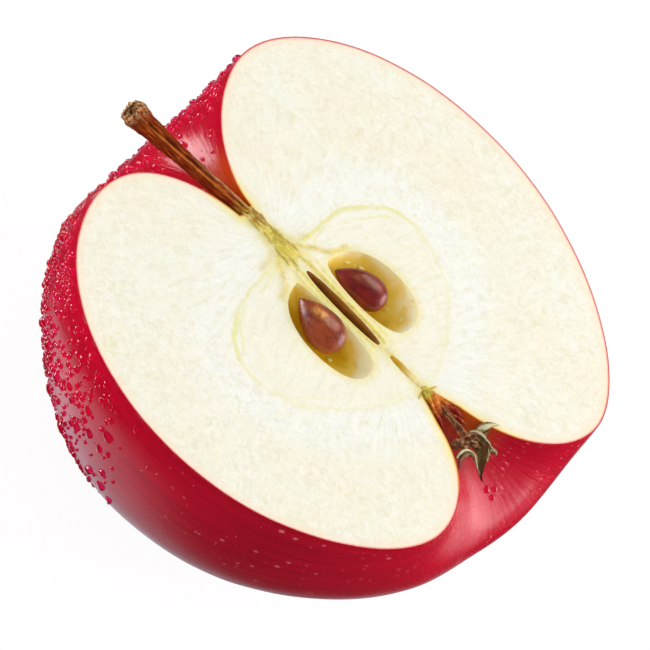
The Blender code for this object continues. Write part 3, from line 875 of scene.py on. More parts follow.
def dome(rings, sides):
    """A unit water bead: a rounded dome over a foot that is sunk below the surface."""
    angle = np.linspace(-0.35, 1, rings)[:-1, None] * math.pi / 2
    turn = ring_turns(sides)[None]
    radius = np.cos(angle) ** 0.8
    points = np.stack((radius * np.cos(turn), radius * np.sin(turn), np.sin(angle) + 0 * turn), axis=-1)
    return np.concatenate((points.reshape(-1, 3), [(0, 0, -0.55), (0, 0, 1)])), tube_faces(rings - 1, sides)


def build_water(name, places, outward, radii, stretch, height, rings, sides, materials):
    """Many beads as one piece; stretch draws a bead out against the way the water ran."""
    template, faces = dome(rings, sides)
    x, y, z = template.T[:, None]
    many = (len(places), 1)
    radii, stretch, height = radii[:, None], stretch[:, None], height[:, None]
    run = np.asarray(WATER_RUN) - outward * (outward @ np.asarray(WATER_RUN))[:, None]
    run /= np.linalg.norm(run, axis=1, keepdims=True) + 1e-9
    skew = rng.uniform(-0.35, 0.35, many)
    first = run * np.cos(skew) + np.cross(outward, run) * np.sin(skew)
    second = np.cross(outward, first)
    tail = np.clip(-x, 0, 1) * np.clip(stretch, 0, 1)
    uneven = 1 + 0.12 * np.sin(np.arctan2(y, x) * rng.integers(2, 4, many) + rng.uniform(0, 6.28, many))
    along = x * (1 + np.where(x < 0, stretch, 0)) * uneven * radii
    across = y * (1 - 0.45 * tail) * uneven * radii
    lift = z * height * (1 - 0.35 * tail) * radii
    points = places[:, None] + first[:, None] * along[..., None]
    points = points + second[:, None] * across[..., None] + outward[:, None] * lift[..., None]
    mesh = Mesh()
    starts = range(0, len(places) * len(template), len(template))
    mesh.add(points.reshape(-1, 3), [tuple(i + start for i in face) for start in starts for face in faces])
    return mesh.build(name, materials)


def water_density(places, share):
    """How thickly the water lies: the stem side is wet, the calyx side and the cut edge nearly dry."""
    wet = 1 - smoothstep(-21.0, 1.0, places[:, 0] + 5.0 * bumps(places, 9.0, 141))
    patches = 0.45 + 0.55 * smoothstep(-0.35, 0.3, bumps(places, 6.0, 142))
    cavity = 0.26 + 0.74 * smoothstep(0.09, 0.18, share)
    margin = 0.22 + 0.78 * smoothstep(-0.8, -2.4, places[:, 2])
    far_rim = smoothstep(17.0, 21.0, places[:, 1]) * smoothstep(-6.0, -4.4, places[:, 2])
    return wet * patches * cavity * margin * (1 - far_rim) * (places[:, 2] < -0.4)


def build_all_water(material):
    """Large drops, full beads and fine spray, thick on the stem side and thinning towards the cheek."""
    place, outward, share = skin_places(WATER_TRIES)
    density = water_density(place, share)
    chance = rng.random(len(place))
    free = (place[:, 2] > -REST_DEPTH + 1.2) & (density > 0.02)
    hanging = [int(np.argmin(np.linalg.norm(place - np.array(spot), axis=1))) for spot, _ in CALYX_BEADS]
    free[hanging] = False
    taken = []
    water = []
    for name, sizes, low_power, share_of, gap, most, rings, sides, stretched in WATER_KINDS:
        found = np.nonzero(free & (chance < share_of * density ** low_power))[0]
        radii = sizes[0] + (sizes[1] - sizes[0]) * rng.random(len(found)) ** 1.6
        kept = spaced(place[found], radii, gap, taken)
        found, radii = found[kept], radii[kept]
        if len(found) > most:
            chosen = np.sort(rng.permutation(len(found))[:most])
            found, radii = found[chosen], radii[chosen]
        free[found] = False
        taken += list(zip(place[found], radii))
        if name == "water_beads":
            found = np.append(found, hanging)
            radii = np.append(radii, [radius for _, radius in CALYX_BEADS])
        stretch = rng.uniform(0.0, stretched, len(found)) * smoothstep(-26.0, -14.0, place[found, 0])
        height = rng.uniform(0.75, 1.05, len(found))
        where = (place[found], outward[found])
        water.append(build_water(name, *where, radii, stretch, height, rings, sides, [material]))
    return water


# ---------------------------------------------------------------- materials
def srgb(red, green, blue):
    """A display colour, 0 to 255, as linear light."""
    values = [each / 255 for each in (red, green, blue)]
    return (*(each / 12.92 if each <= 0.04045 else ((each + 0.055) / 1.055) ** 2.4 for each in values), 1.0)


class Number:
    """A value in a node tree; arithmetic with it adds the nodes that do the sum."""

    def __init__(self, shader, socket):
        self.shader = shader
        self.socket = socket

    def __add__(self, other):
        return self.shader.math("ADD", self, other)

    def __sub__(self, other):
        return self.shader.math("SUBTRACT", self, other)

    def __rsub__(self, other):
        return self.shader.math("SUBTRACT", other, self)

    def __mul__(self, other):
        return self.shader.math("MULTIPLY", self, other)

    def __truediv__(self, other):
        return self.shader.math("DIVIDE", self, other)

    def __abs__(self):
        return self.shader.math("ABSOLUTE", self)


class Shader:
    """The node tree of a material or a world, with a short method for each kind of node."""

    def __init__(self, owner):
        """Takes a world, or the name of a new material."""
        self.owner = bpy.data.materials.new(owner) if isinstance(owner, str) else owner
        self.owner.use_nodes = True
        self.tree = self.owner.node_tree
        self.tree.nodes.clear()

    def add(self, kind, inputs=None, **settings):
        node = self.tree.nodes.new("ShaderNode" + kind)
        for key, value in settings.items():
            setattr(node, key, value)
        for key, value in (inputs or {}).items():
            value = value.socket if isinstance(value, Number) else value
            if isinstance(value, bpy.types.NodeSocket):
                self.tree.links.new(value, node.inputs[key])
            else:
                node.inputs[key].default_value = value
        return node

    def value(self, name):
        """A value that the mesh holds for each of its points."""
        node = self.add("Attribute", attribute_name=name, attribute_type="GEOMETRY")
        return Number(self, node.outputs["Fac"])

    def place(self):
        """The object's own coordinates in millimetres."""
        coordinates = self.add("TexCoord").outputs["Object"]
        scaled = self.add("VectorMath", {0: coordinates, 1: (1000.0, 1000.0, 1000.0)}, operation="MULTIPLY")
        return scaled.outputs[0]

    def math(self, operation, first, second=0.0, clamp=False):
        node = self.add("Math", {0: first, 1: second}, operation=operation, use_clamp=clamp)
        return Number(self, node.outputs[0])

    def largest(self, first, second):
        return self.math("MAXIMUM", first, second)

    def step(self, value, low, high, least=0.0, most=1.0):
        """Smoothly from least at low to most at high."""
        inputs = {"Value": value, "From Min": low, "From Max": high, "To Min": least, "To Max": most}
        return Number(self, self.add("MapRange", inputs, interpolation_type="SMOOTHSTEP").outputs["Result"])

    def mix(self, factor, first, second, blend="MIX"):
        inputs = {"Factor": factor, 6: first, 7: second}
        return self.add("Mix", inputs, data_type="RGBA", blend_type=blend).outputs[2]

    def vector(self, x, y, z=0.0):
        return self.add("CombineXYZ", {"X": x, "Y": y, "Z": z}).outputs[0]

    def split(self, vector):
        return [Number(self, each) for each in self.add("SeparateXYZ", {0: vector}).outputs]

    def noise(self, vector, scale, detail=3.0, roughness=0.55, distortion=0.0):
        inputs = {"Vector": vector, "Scale": scale, "Detail": detail, "Roughness": roughness}
        inputs["Distortion"] = distortion
        return Number(self, self.add("TexNoise", inputs).outputs["Fac"])

    def cells(self, vector, scale):
        """Distance to the middle of the nearest cell, and that cell's own random colour."""
        node = self.add("TexVoronoi", {"Vector": vector, "Scale": scale})
        return Number(self, node.outputs["Distance"]), node.outputs["Color"]

    def bump(self, height, distance, strength=1.0, normal=None):
        inputs = {"Height": height, "Distance": distance, "Strength": strength}
        if normal is not None:
            inputs["Normal"] = normal
        return self.add("Bump", inputs).outputs["Normal"]

    def principled(self, colour, roughness, scatter=None, **inputs):
        """A principled surface; underscores stand for spaces. Scatter is a weight and three millimetres."""
        named = {name.replace("_", " "): value for name, value in inputs.items()}
        if scatter:
            named["Subsurface Weight"] = scatter[0]
            named["Subsurface Radius"] = tuple(reach * MM for reach in scatter[1:])
            named["Subsurface Scale"] = 1.0
        return self.add("BsdfPrincipled", {"Base Color": colour, "Roughness": roughness, **named}).outputs[0]

    def output(self, surface):
        self.add("OutputMaterial", {"Surface": surface})
        return self.owner

    def finish(self, *values, **inputs):
        return self.output(self.principled(*values, **inputs))


PEEL_DEEP = (0.46, 0.0006, 0.018, 1.0)
PEEL_BRIGHT = (0.64, 0.0012, 0.026, 1.0)
PEEL_WARM = (0.68, 0.010, 0.030, 1.0)
PEEL_DOT = srgb(255, 134, 142)
PEEL_RUSSET = srgb(212, 74, 20)
TUBE_DARK = srgb(104, 10, 6)
TUBE_RED = srgb(196, 44, 6)
TUBE_ORANGE = srgb(216, 94, 16)
FLESH_CREAM = srgb(246, 241, 222)
FLESH_PALE = srgb(247, 244, 230)
FLESH_COOL = srgb(248, 248, 243)
FLESH_SHADE = srgb(232, 226, 199)
FLESH_LIGHT = srgb(253, 250, 240)
FLESH_GREEN = srgb(226, 226, 166)
FLESH_CORE = srgb(248, 241, 208)
FLESH_LINE = srgb(233, 229, 152)
STRAND_YELLOW = srgb(234, 210, 92)
STRAND_GREEN = srgb(204, 186, 62)
STRAND_TAN = srgb(222, 188, 96)
GLOW_YELLOW = srgb(238, 226, 146)
FLESH_WALL = srgb(240, 228, 152)
FIBRE_BROWN = srgb(176, 112, 50)
TISSUE_ORANGE = srgb(214, 116, 18)
TISSUE_BROWN = srgb(150, 34, 12)
TISSUE_LIGHT = srgb(232, 150, 96)
RIM_PEACH = srgb(250, 228, 205)
RIM_YELLOW = srgb(246, 228, 150)
RIM_PINK = srgb(238, 120, 118)
RIM_ORANGE = srgb(236, 176, 60)
RIM_RED = srgb(176, 5, 30)
RIM_RUSSET = srgb(206, 120, 30)
LINING_PALE = srgb(250, 243, 206)
LINING_OCHRE = srgb(240, 208, 88)
LINING_DEEP = srgb(218, 172, 24)
SLIT_EDGE = srgb(206, 156, 74)
SLIT_BROWN = srgb(166, 98, 28)
SLIT_DARK = srgb(122, 62, 8)
CANAL_OCHRE = srgb(212, 182, 62)
CANAL_PALE = srgb(244, 236, 198)
CANAL_EDGE = srgb(208, 188, 120)
BARK_DARK = srgb(96, 22, 2)
BARK_BROWN = srgb(150, 54, 6)
BARK_ORANGE = srgb(200, 98, 22)
GROOVE_SHADE = srgb(72, 16, 2)
BARK_TAN = srgb(232, 170, 118)
BARK_GOLD_HIGHLIGHT = srgb(208, 120, 44)
BREAK_DARK = srgb(96, 38, 12)
BREAK_PALE = srgb(214, 176, 122)
SEED_DARK = srgb(108, 24, 8)
SEED_BROWN = srgb(164, 70, 26)
SEED_DEEP_RED = srgb(104, 8, 6)
SEED_RED = srgb(146, 32, 22)
SEED_ORANGE = srgb(222, 150, 66)
SEED_TIP = srgb(70, 10, 8)
SEPAL_DARK = srgb(58, 26, 8)
SEPAL_BROWN = srgb(124, 92, 50)
SEPAL_OLIVE = srgb(168, 154, 96)
SEPAL_HIGHLIGHT = srgb(212, 206, 168)
STAMEN_DARK = srgb(72, 34, 12)
STAMEN_LIGHT = srgb(172, 118, 70)
WATER_PAINTED_RED = (0.78, 0.03, 0.26, 1.0)
WATER_SHADE = (0.90, 0.60, 0.66, 1.0)
# Angles round the stem of its gold line along one ridge, a painted highlight, and of the tan side near its
# base, whose tan is lightened as the lit side: partly painted light.
HIGHLIGHT_RIDGE_ANGLE = 0.95
LIT_TAN_ANGLE = 2.0
# The middle of the lighter patch on a pip, along it and across it.
SEED_PATCH = (0.40, -0.10)


def skin_material():
    """Glossy red peel: meridian streaks, pale lenticels, russet in the stem cavity, a brown calyx tube."""
    s = Shader("peel")
    place = s.place()
    along, around = s.value("along"), s.value("around")
    pit, tube = s.value("pit"), s.value("tube")
    streak = s.noise(s.vector(around * 26.0, along * 0.05), 1.0, 4.0, 0.6)
    broad = s.noise(place, 0.045, 2.0)
    speck = s.noise(place, 2.2, 2.0)
    tone = streak * 0.55 + broad * 0.45
    red = s.mix(s.step(tone, 0.36, 0.66), PEEL_DEEP, PEEL_BRIGHT)
    red = s.mix(s.step(speck, 0.5, 0.8) * 0.12, red, PEEL_WARM)
    # Lenticels: small pale dots, closer together and drawn out towards the calyx.
    spread_place = s.vector(around * 36.0, along * 0.8)
    near_calyx = s.step(along, 62.0, 92.0)
    dots = None
    for source, scale, least, spread, share, where in (
        (place, 0.34, 0.035, 0.050, 0.85, None),
        (place, 0.62, 0.045, 0.060, 0.40, None),
        (spread_place, 0.42, 0.065, 0.13, 0.75, near_calyx),
        (spread_place, 0.75, 0.080, 0.15, 0.50, near_calyx),
    ):
        distance, colour = s.cells(source, scale)
        random = s.split(colour)
        radius = random[0] * spread + least
        ratio = distance / radius
        dot = s.step(ratio, 1.0, 0.45) * s.math("LESS_THAN", random[1], share)
        dot = dot if where is None else dot * where
        dots = dot if dots is None else s.largest(dots, dot)
    clear = s.math("SUBTRACT", 1.0, s.largest(pit, tube), clamp=True)
    dots = dots * clear
    colour = s.mix(dots * 0.85, red, PEEL_DOT)
    # Russet in the stem cavity, more of it under the far lobe.
    russet = s.noise(s.vector(around * 5.0, along * 0.22), 1.0, 4.0, 0.65)
    russet = russet + s.step(around, 0.9, 0.1) * s.step(along, 13.0, 6.0) * 0.32
    russet = pit * s.step(along, 11.0, 6.0) * s.step(russet, 0.34, 0.62)
    colour = s.mix(russet, colour, PEEL_RUSSET)
    # The calyx tube is orange under the far lobe and dark red under the near one.
    cloud = s.noise(place, 0.9, 4.0, 0.65)
    turned = around + (cloud - 0.5) * 1.6
    tube_colour = s.mix(s.step(turned, 0.45, 1.10), TUBE_ORANGE, TUBE_RED)
    tube_colour = s.mix(s.step(turned, 1.1, 2.1), tube_colour, TUBE_DARK)
    colour = s.mix(tube, colour, tube_colour)
    normal = s.bump(s.noise(place, 1.6, 3.0, 0.6) * 0.35 + dots * -0.25, 0.06 * MM, 0.5)
    ends = s.largest(near_calyx, s.step(along, 26.0, 12.0))
    ridges = s.noise(s.vector(around * 11.0, along * 0.07), 1.0, 4.0, 0.62)
    normal = s.bump(ridges * ends, 0.16 * MM, 0.5, normal)
    rough = s.step(speck, 0.3, 0.8, 0.15, 0.21) + tube * 0.25 + near_calyx * 0.09
    return s.finish(colour, rough, IOR=1.42, Normal=normal)


def flesh_material():
    """Crisp cream flesh: pink under the peel, yellow strands by the stem, a faint line round the core."""
    s = Shader("flesh")
    place = s.place()
    edge, core, trunk = s.value("edge"), s.value("core"), s.value("trunk")
    across, reach = s.value("fibre_across"), s.value("fibre_along")
    stem_rim, calyx_rim = s.value("stem_rim"), s.value("calyx_rim")
    opening = s.value("opening")
    fibre_place = s.vector(across * FIBRE_STRETCH[0], reach * FIBRE_STRETCH[1])
    fibres = s.noise(fibre_place, 1.3, 4.0, 0.62, 0.6)
    grain = s.noise(place, 0.75, 4.0, 0.66, 1.6)
    fine = s.noise(place, 3.0, 2.0, 0.6, 0.8)
    broad = s.noise(place, 0.09, 2.0)
    colour = s.mix(s.step(broad, 0.35, 0.65), FLESH_CREAM, FLESH_PALE)
    colour = s.mix(s.step(abs(core - 3.0), 6.0, 0.0) * 0.7, colour, FLESH_COOL)
    close = s.step(reach, 24.0, 8.0, 0.22, 0.65)
    mottle = fibres * close + grain * (1.0 - close)
    colour = s.mix(s.step(mottle, 0.46, 0.66, 0.0, 0.6), colour, FLESH_SHADE)
    colour = s.mix(s.step(mottle, 0.46, 0.32, 0.0, 0.8), colour, FLESH_LIGHT)
    colour = s.mix(s.step(fine, 0.52, 0.75, 0.0, 0.35), colour, FLESH_SHADE)
    fleck = s.noise(fibre_place, 0.62, 3.0, 0.6)
    fleck = s.step(fleck, 0.60, 0.72) * s.step(grain, 0.48, 0.62)
    colour = s.mix(fleck * 0.55, colour, FLESH_GREEN)
    # The core: a little yellower inside its line, and the line itself.
    wavy = core + (s.noise(place, 0.17, 4.0, 0.6) - 0.5) * 2.2
    line = s.step(wavy, -0.75, 0.0) * s.step(wavy, 0.45, 0.0)
    colour = s.mix(s.step(core, 0.3, -0.9) * s.step(core, -4.0, -11.0, 0.12, 0.5), colour, FLESH_CORE)
    stem_side = s.step(s.split(place)[0], 4.0, -5.0, 0.30, 0.85)
    broken = s.step(s.noise(place, 0.30, 3.0), 0.30, 0.52, 0.25, 1.0)
    colour = s.mix(line * broken * stem_side, colour, FLESH_LINE)
    second = wavy + s.step(s.noise(place, 0.12, 2.0), 0.35, 0.65, 0.6, 1.7)
    second = s.step(second, -0.30, 0.0) * s.step(second, 0.30, 0.0)
    second = second * s.step(s.noise(place, 0.17, 2.0), 0.44, 0.56)
    colour = s.mix(second * stem_side * 0.7, colour, FLESH_LINE)
    # Thin yellow walls round the openings of the core.
    wall = s.step(opening, 1.3, 0.15) * s.step(grain, 0.30, 0.60, 0.35, 1.0)
    colour = s.mix(wall * 0.6, colour, FLESH_WALL)
    # Yellow strands from the stem.
    cloudy = s.step(s.noise(place, 0.45, 3.0), 0.28, 0.62, 0.35, 1.0)
    colour = s.mix(s.value("glow") * cloudy * 0.85, colour, GLOW_YELLOW)
    ragged = trunk * s.step(s.noise(place, 0.9, 4.0, 0.65, 1.0), 0.12, 0.44)
    strand_colour = s.mix(s.step(s.noise(place, 1.3, 3.0), 0.42, 0.60), STRAND_YELLOW, STRAND_GREEN)
    colour = s.mix(ragged * 0.9, colour, strand_colour)
    # Under the peel: peach, then pink, then the cut peel itself.
    inward = edge + (fine - 0.5) * 0.10
    rim_tone = s.largest(stem_rim, calyx_rim)
    colour = s.mix(s.step(inward, 1.9, 0.25, 0.0, 0.62), colour, s.mix(rim_tone, RIM_PEACH, RIM_YELLOW))
    colour = s.mix(s.step(inward, 0.42, 0.16, 0.0, 0.75), colour, s.mix(rim_tone, RIM_PINK, RIM_ORANGE))
    cut_peel = s.mix(s.largest(calyx_rim, stem_rim), RIM_RED, RIM_RUSSET)
    colour = s.mix(s.step(inward, 0.17, 0.09), colour, cut_peel)
    normal = s.bump(grain * 0.6 + fibres * 0.4, 0.25 * MM, 0.6)
    normal = s.bump(fine, 0.07 * MM, 0.6, normal)
    return s.finish(colour, 0.44, (0.35, 2.0, 1.3, 0.7), IOR=1.38, Specular_IOR_Level=0.1, Normal=normal)


def lining_material():
    """The smooth, horny wall of a seed pocket: cream at its rim and ochre where it is deep, with painted
    light: paler towards the calyx end and a faint glow, as of light through the flesh.
    """
    s = Shader("pocket_lining")
    place = s.place()
    deep = s.value("deep")
    cloud = s.noise(place, 0.28, 3.0, 0.55)
    x = s.split(place)[0]
    # Painted light: the lining is made paler towards the calyx end, where it looks lit.
    calyx_end = s.step(x, POCKET_PAINTED_LIGHT_X[0] + OFFSET[0], POCKET_PAINTED_LIGHT_X[1] + OFFSET[0], 0.12, -0.42)
    tone = deep + (cloud - 0.5) * 1.1 + calyx_end
    colour = s.mix(s.step(tone, -0.05, 0.50), LINING_PALE, LINING_OCHRE)
    colour = s.mix(s.step(tone, 0.45, 1.00), colour, LINING_DEEP)
    normal = s.bump(s.noise(place, 1.1, 3.0), 0.10 * MM, 0.4)
    # A faint emission: painted light, standing in for light that shines through the thin wall.
    glow = {"Emission_Color": colour, "Emission_Strength": 0.10}
    return s.finish(colour, 0.35, (0.4, 3.0, 2.0, 0.6), Specular_IOR_Level=0.12, Normal=normal, **glow)


def slit_material():
    """The narrow middle opening of the core, brown down its walls."""
    s = Shader("core_slit")
    deep = s.value("deep")
    cloud = s.noise(s.place(), 0.5, 3.0)
    colour = s.mix(s.step(deep, 0.0, 0.55), SLIT_EDGE, SLIT_BROWN)
    colour = s.mix(s.step(cloud, 0.35, 0.7, 0.0, 0.5), colour, SLIT_DARK)
    return s.finish(colour, 0.4, (0.5, 2.5, 1.2, 0.4), Specular_IOR_Level=0.2)


def canal_material():
    """The shallow style canal: ochre at the core end, paler towards the calyx, with a faint painted glow."""
    s = Shader("style_canal")
    place = s.place()
    start = CANAL_X[0] + OFFSET[0]
    colour = s.mix(s.step(s.split(place)[0], start + 1.2, start + 4.5), CANAL_OCHRE, CANAL_PALE)
    colour = s.mix(s.step(s.noise(place, 1.2, 3.0), 0.4, 0.7, 0.0, 0.5), colour, CANAL_EDGE)
    # A faint emission: painted light, as though lit through the flesh.
    glow = {"Emission_Color": colour, "Emission_Strength": 0.12}
    return s.finish(colour, 0.4, (0.6, 2.5, 1.8, 1.0), Specular_IOR_Level=0.2, **glow)


def stem_material():
    """Dry wood: brown with orange streaks on its ridges and a pale break; a gold line along one of its ridges
    is a painted highlight, a lighter side near the base is partly painted light, and its grooves and the
    hollow of the break are darkened with painted shade.
    """
    s = Shader("stem_bark")
    place = s.place()
    along, around = s.value("along"), s.value("around")
    height, hollow = s.value("height"), s.value("hollow")
    sine, cosine = s.math("SINE", around), s.math("COSINE", around)
    lines = s.noise(s.vector(sine * 3.0, cosine * 3.0, along * 5.0), 1.6, 4.0, 0.65)
    fine_lines = s.noise(s.vector(sine * 7.0, cosine * 7.0, along * 9.0), 1.5, 3.0, 0.65)
    patch = s.noise(place, 0.42, 3.0, 0.6)
    tone = lines * 0.5 + fine_lines * 0.5
    colour = s.mix(s.step(tone, 0.38, 0.60), BARK_DARK, BARK_BROWN)
    colour = s.mix(s.step(patch, 0.40, 0.62) * s.step(fine_lines, 0.46, 0.62), colour, BARK_ORANGE)
    # Painted shade: darker where the surface sinks into its grooves.
    colour = s.mix(s.step(height, 1.02, 0.78, 0.0, 0.85), colour, GROOVE_SHADE)
    # Painted highlight: a thin gold line along one ridge, where the light catches it.
    ridge_highlight = s.step(s.math("COSINE", around - HIGHLIGHT_RIDGE_ANGLE), 0.982, 0.999) * s.step(along, 0.95, 0.70)
    colour = s.mix(ridge_highlight * s.step(fine_lines, 0.36, 0.56, 0.35, 0.95), colour, BARK_GOLD_HIGHLIGHT)
    # Tan streaks near the base on the lit side: partly the wood's own tan, partly painted light.
    lit_tan = s.step(s.math("COSINE", around - LIT_TAN_ANGLE), 0.86, 0.985) * s.step(along, 0.62, 0.10)
    colour = s.mix(lit_tan * s.step(fine_lines, 0.36, 0.56) * 0.85, colour, BARK_TAN)
    colour = s.mix(s.step(along, 0.13, 0.0) * s.step(lines, 0.4, 0.6), colour, STRAND_GREEN)
    pale_lines = s.step(fine_lines, 0.62, 0.74) * s.step(patch, 0.36, 0.56)
    colour = s.mix(pale_lines * 0.7, colour, BARK_TAN)
    torn = s.noise(place, 2.4, 4.0, 0.65)
    ending = s.step(along, 0.86, 0.99) * s.step(torn, 0.42, 0.58)
    colour = s.mix(ending * 0.8, colour, BREAK_PALE)
    break_tone = s.mix(s.step(torn, 0.42, 0.60), BREAK_DARK, BREAK_PALE)
    colour = s.mix(s.step(hollow, 0.0, 0.3), colour, break_tone)
    # Painted shade: the deep inside of the broken end's hollow goes dark.
    colour = s.mix(s.step(hollow, 0.50, 1.0), colour, BREAK_DARK)
    normal = s.bump(tone, 0.40 * MM, 0.8)
    normal = s.bump(s.noise(place, 5.0, 3.0), 0.10 * MM, 0.5, normal)
    return s.finish(colour, 0.45, Specular_IOR_Level=0.1, Normal=normal)


def seed_material(name, dark, light, patch_strength):
    """A shiny brown coat with fine lengthwise grain and a lighter patch."""
    s = Shader(name)
    place = s.place()
    along, across, top = s.value("along"), s.value("across"), s.value("top")
    grain = s.noise(s.vector(along * 2.4, across * 5.5, top * 5.0), 3.2, 4.0, 0.60, 0.2)
    patch = s.noise(place, 0.42, 3.0, 0.6)
    tone = grain * 0.45 + patch * 0.55
    colour = s.mix(s.step(tone, 0.38, 0.64), dark, light)
    glow = s.step(abs(along - SEED_PATCH[0]), 0.22, 0.04) * s.step(abs(across - SEED_PATCH[1]), 0.40, 0.05)
    glow = glow * s.step(top, 0.0, 0.5, 0.0, patch_strength)
    glow = glow * s.step(s.noise(place, 1.1, 4.0, 0.65), 0.36, 0.60, 0.1, 1.0)
    colour = s.mix(glow, colour, SEED_ORANGE)
    colour = s.mix(s.step(along, 0.10, 0.0, 0.0, 0.7), colour, SEED_TIP)
    normal = s.bump(grain, 0.10 * MM, 0.4)
    return s.finish(colour, 0.34, IOR=1.5, Normal=normal, Coat_Weight=0.5, Coat_Roughness=0.2)


def sepal_material():
    """Dried sepals: olive-brown felt; on the ones that catch the light, olive felt and a pale edge are
    painted light, and the others darken towards their tips, partly painted shade.
    """
    s = Shader("sepal")
    place = s.place()
    across, along, pale = s.value("across"), s.value("along"), s.value("pale")
    lines = s.noise(s.vector(across * 4.0, along * 3.0), 1.4, 4.0, 0.65)
    felt = s.noise(place, 2.4, 4.0, 0.7)
    colour = s.mix(s.step(lines, 0.36, 0.64), SEPAL_DARK, SEPAL_BROWN)
    # Olive felt only on the sepals that catch the light: painted light.
    colour = s.mix(s.step(felt, 0.44, 0.66) * s.step(pale, -0.3, 0.6), colour, SEPAL_OLIVE)
    # Painted highlight: a pale line along the fold of the sepals that catch the light.
    sepal_highlight = s.step(abs(across), 0.85, 0.25) * pale * s.step(felt, 0.28, 0.50, 0.35, 1.0)
    colour = s.mix(sepal_highlight, colour, SEPAL_HIGHLIGHT)
    # Dark tips on the sepals that don't catch the light: dried tips, partly painted shade.
    colour = s.mix(s.step(along, 0.70, 1.0) * (1.0 - pale), colour, SEPAL_DARK)
    return s.finish(colour, 0.55, Specular_IOR_Level=0.2, Normal=s.bump(felt, 0.12 * MM, 0.6))


def tissue_material():
    """Tissue at the narrow end of the calyx tube: yellow-green, then orange-brown, then red-brown."""
    s = Shader("calyx_tissue")
    place = s.place()
    cloud = s.noise(place, 1.5, 4.0, 0.68)
    wander = s.split(place)[0] + (cloud - 0.5) * 2.5
    colour = s.mix(s.step(wander, 15.4 + OFFSET[0], 16.4 + OFFSET[0]), STRAND_GREEN, TISSUE_ORANGE)
    colour = s.mix(s.step(wander, 17.0 + OFFSET[0], 19.0 + OFFSET[0]), colour, TISSUE_BROWN)
    colour = s.mix(s.step(cloud, 0.55, 0.70, 0.0, 0.6), colour, TISSUE_LIGHT)
    return s.finish(colour, 0.38, Normal=s.bump(cloud, 0.2 * MM, 0.8))


def fibre_material():
    """Fibres of the core: olive and brown at the stem's end, clear yellow further on."""
    s = Shader("core_fibre")
    place = s.place()
    cloud = s.noise(place, 1.7, 4.0, 0.68)
    colour = s.mix(s.step(cloud, 0.36, 0.62), STRAND_GREEN, STRAND_TAN)
    start = s.step(s.split(place)[0], -11.5 + OFFSET[0], -16.5 + OFFSET[0])
    brown = start * s.step(s.noise(place, 1.1, 3.0), 0.42, 0.58)
    colour = s.mix(brown * 0.85, colour, FIBRE_BROWN)
    return s.finish(colour, 0.45, (0.2, 1.2, 0.9, 0.4), Normal=s.bump(cloud, 0.12 * MM, 0.6))


def plain_material(name, dark, light, scale, roughness):
    """Two clouded tones and a little relief, for small parts."""
    s = Shader(name)
    cloud = s.noise(s.place(), scale, 4.0, 0.65)
    colour = s.mix(s.step(cloud, 0.38, 0.62), dark, light)
    return s.finish(colour, roughness, Normal=s.bump(cloud, 0.12 * MM, 0.6))


def water_material():
    """Water that lets the light through to the peel below; its red and its pink reflections are painted
    light, for the peel seen through each bead.
    """
    s = Shader("water")
    # Clear water has no colour: its red base and pink specular tint are painted, standing in for the peel
    # seen through and reflected in each bead.
    tint = {"IOR": 1.333, "Transmission_Weight": 1.0, "Specular_Tint": (1.0, 0.5, 0.6, 1.0)}
    glass = s.principled(WATER_PAINTED_RED, 0.02, Coat_Weight=0.6, Coat_IOR=1.8, Coat_Roughness=0.14, **tint)
    clear = s.add("BsdfTransparent", {"Color": WATER_SHADE}).outputs[0]
    shadow = s.add("LightPath").outputs["Is Shadow Ray"]
    return s.output(s.add("MixShader", {0: shadow, 1: glass, 2: clear}).outputs[0])


def floor_material():
    """A pale lit sweep that stays white under the fruit."""
    s = Shader("white_sweep")
    grey = (FLOOR_DIFFUSE, FLOOR_DIFFUSE, FLOOR_DIFFUSE, 1.0)
    glow = {"Emission_Color": (1.0, 1.0, 1.0, 1.0), "Emission_Strength": FLOOR_GLOW}
    return s.finish(grey, 0.9, Specular_IOR_Level=0.0, **glow)


# ---------------------------------------------------------------- the pieces, riding on the part
half = build_half([skin_material(), flesh_material(), lining_material(), slit_material(), canal_material()])
stem = build_stem([stem_material()])
brown_coat = seed_material("brown_seed_coat", SEED_DARK, SEED_BROWN, 1.0)
red_coat = seed_material("red_seed_coat", SEED_DEEP_RED, SEED_RED, 0.15)
near_seed = build_seed("seed_near_pip", NEAR_SEED, 71, [brown_coat])
far_seed = build_seed("seed_far_pip", FAR_SEED, 75, [red_coat])
sepals = build_sepals([sepal_material()])
dry_brown = plain_material("stamen", STAMEN_DARK, STAMEN_LIGHT, 1.6, 0.6)
stamens = build_strands("calyx_stamens", STAMENS, [dry_brown])
tissue = build_strands("calyx_tissue", TISSUE, [tissue_material()])
fibres = build_strands("core_fibres", core_fibres(), [fibre_material()])
flakes = build_flakes([plain_material("flake", FLESH_LINE, RIM_YELLOW, 1.5, 0.8)])
water = build_all_water(water_material())

for piece, slot in (
    (half, "skin"),
    (stem, "stem"),
    (near_seed, "seed"),
    (far_seed, "seed"),
    (sepals, "calyx"),
    (stamens, "calyx"),
    (tissue, "calyx"),
    (fibres, "flesh"),
    (flakes, "flesh"),
    *((each, "water") for each in water),
):
    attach(piece, "root")
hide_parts("apple_half")
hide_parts("stem")
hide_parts("seed_near")
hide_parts("seed_far")
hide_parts("calyx")


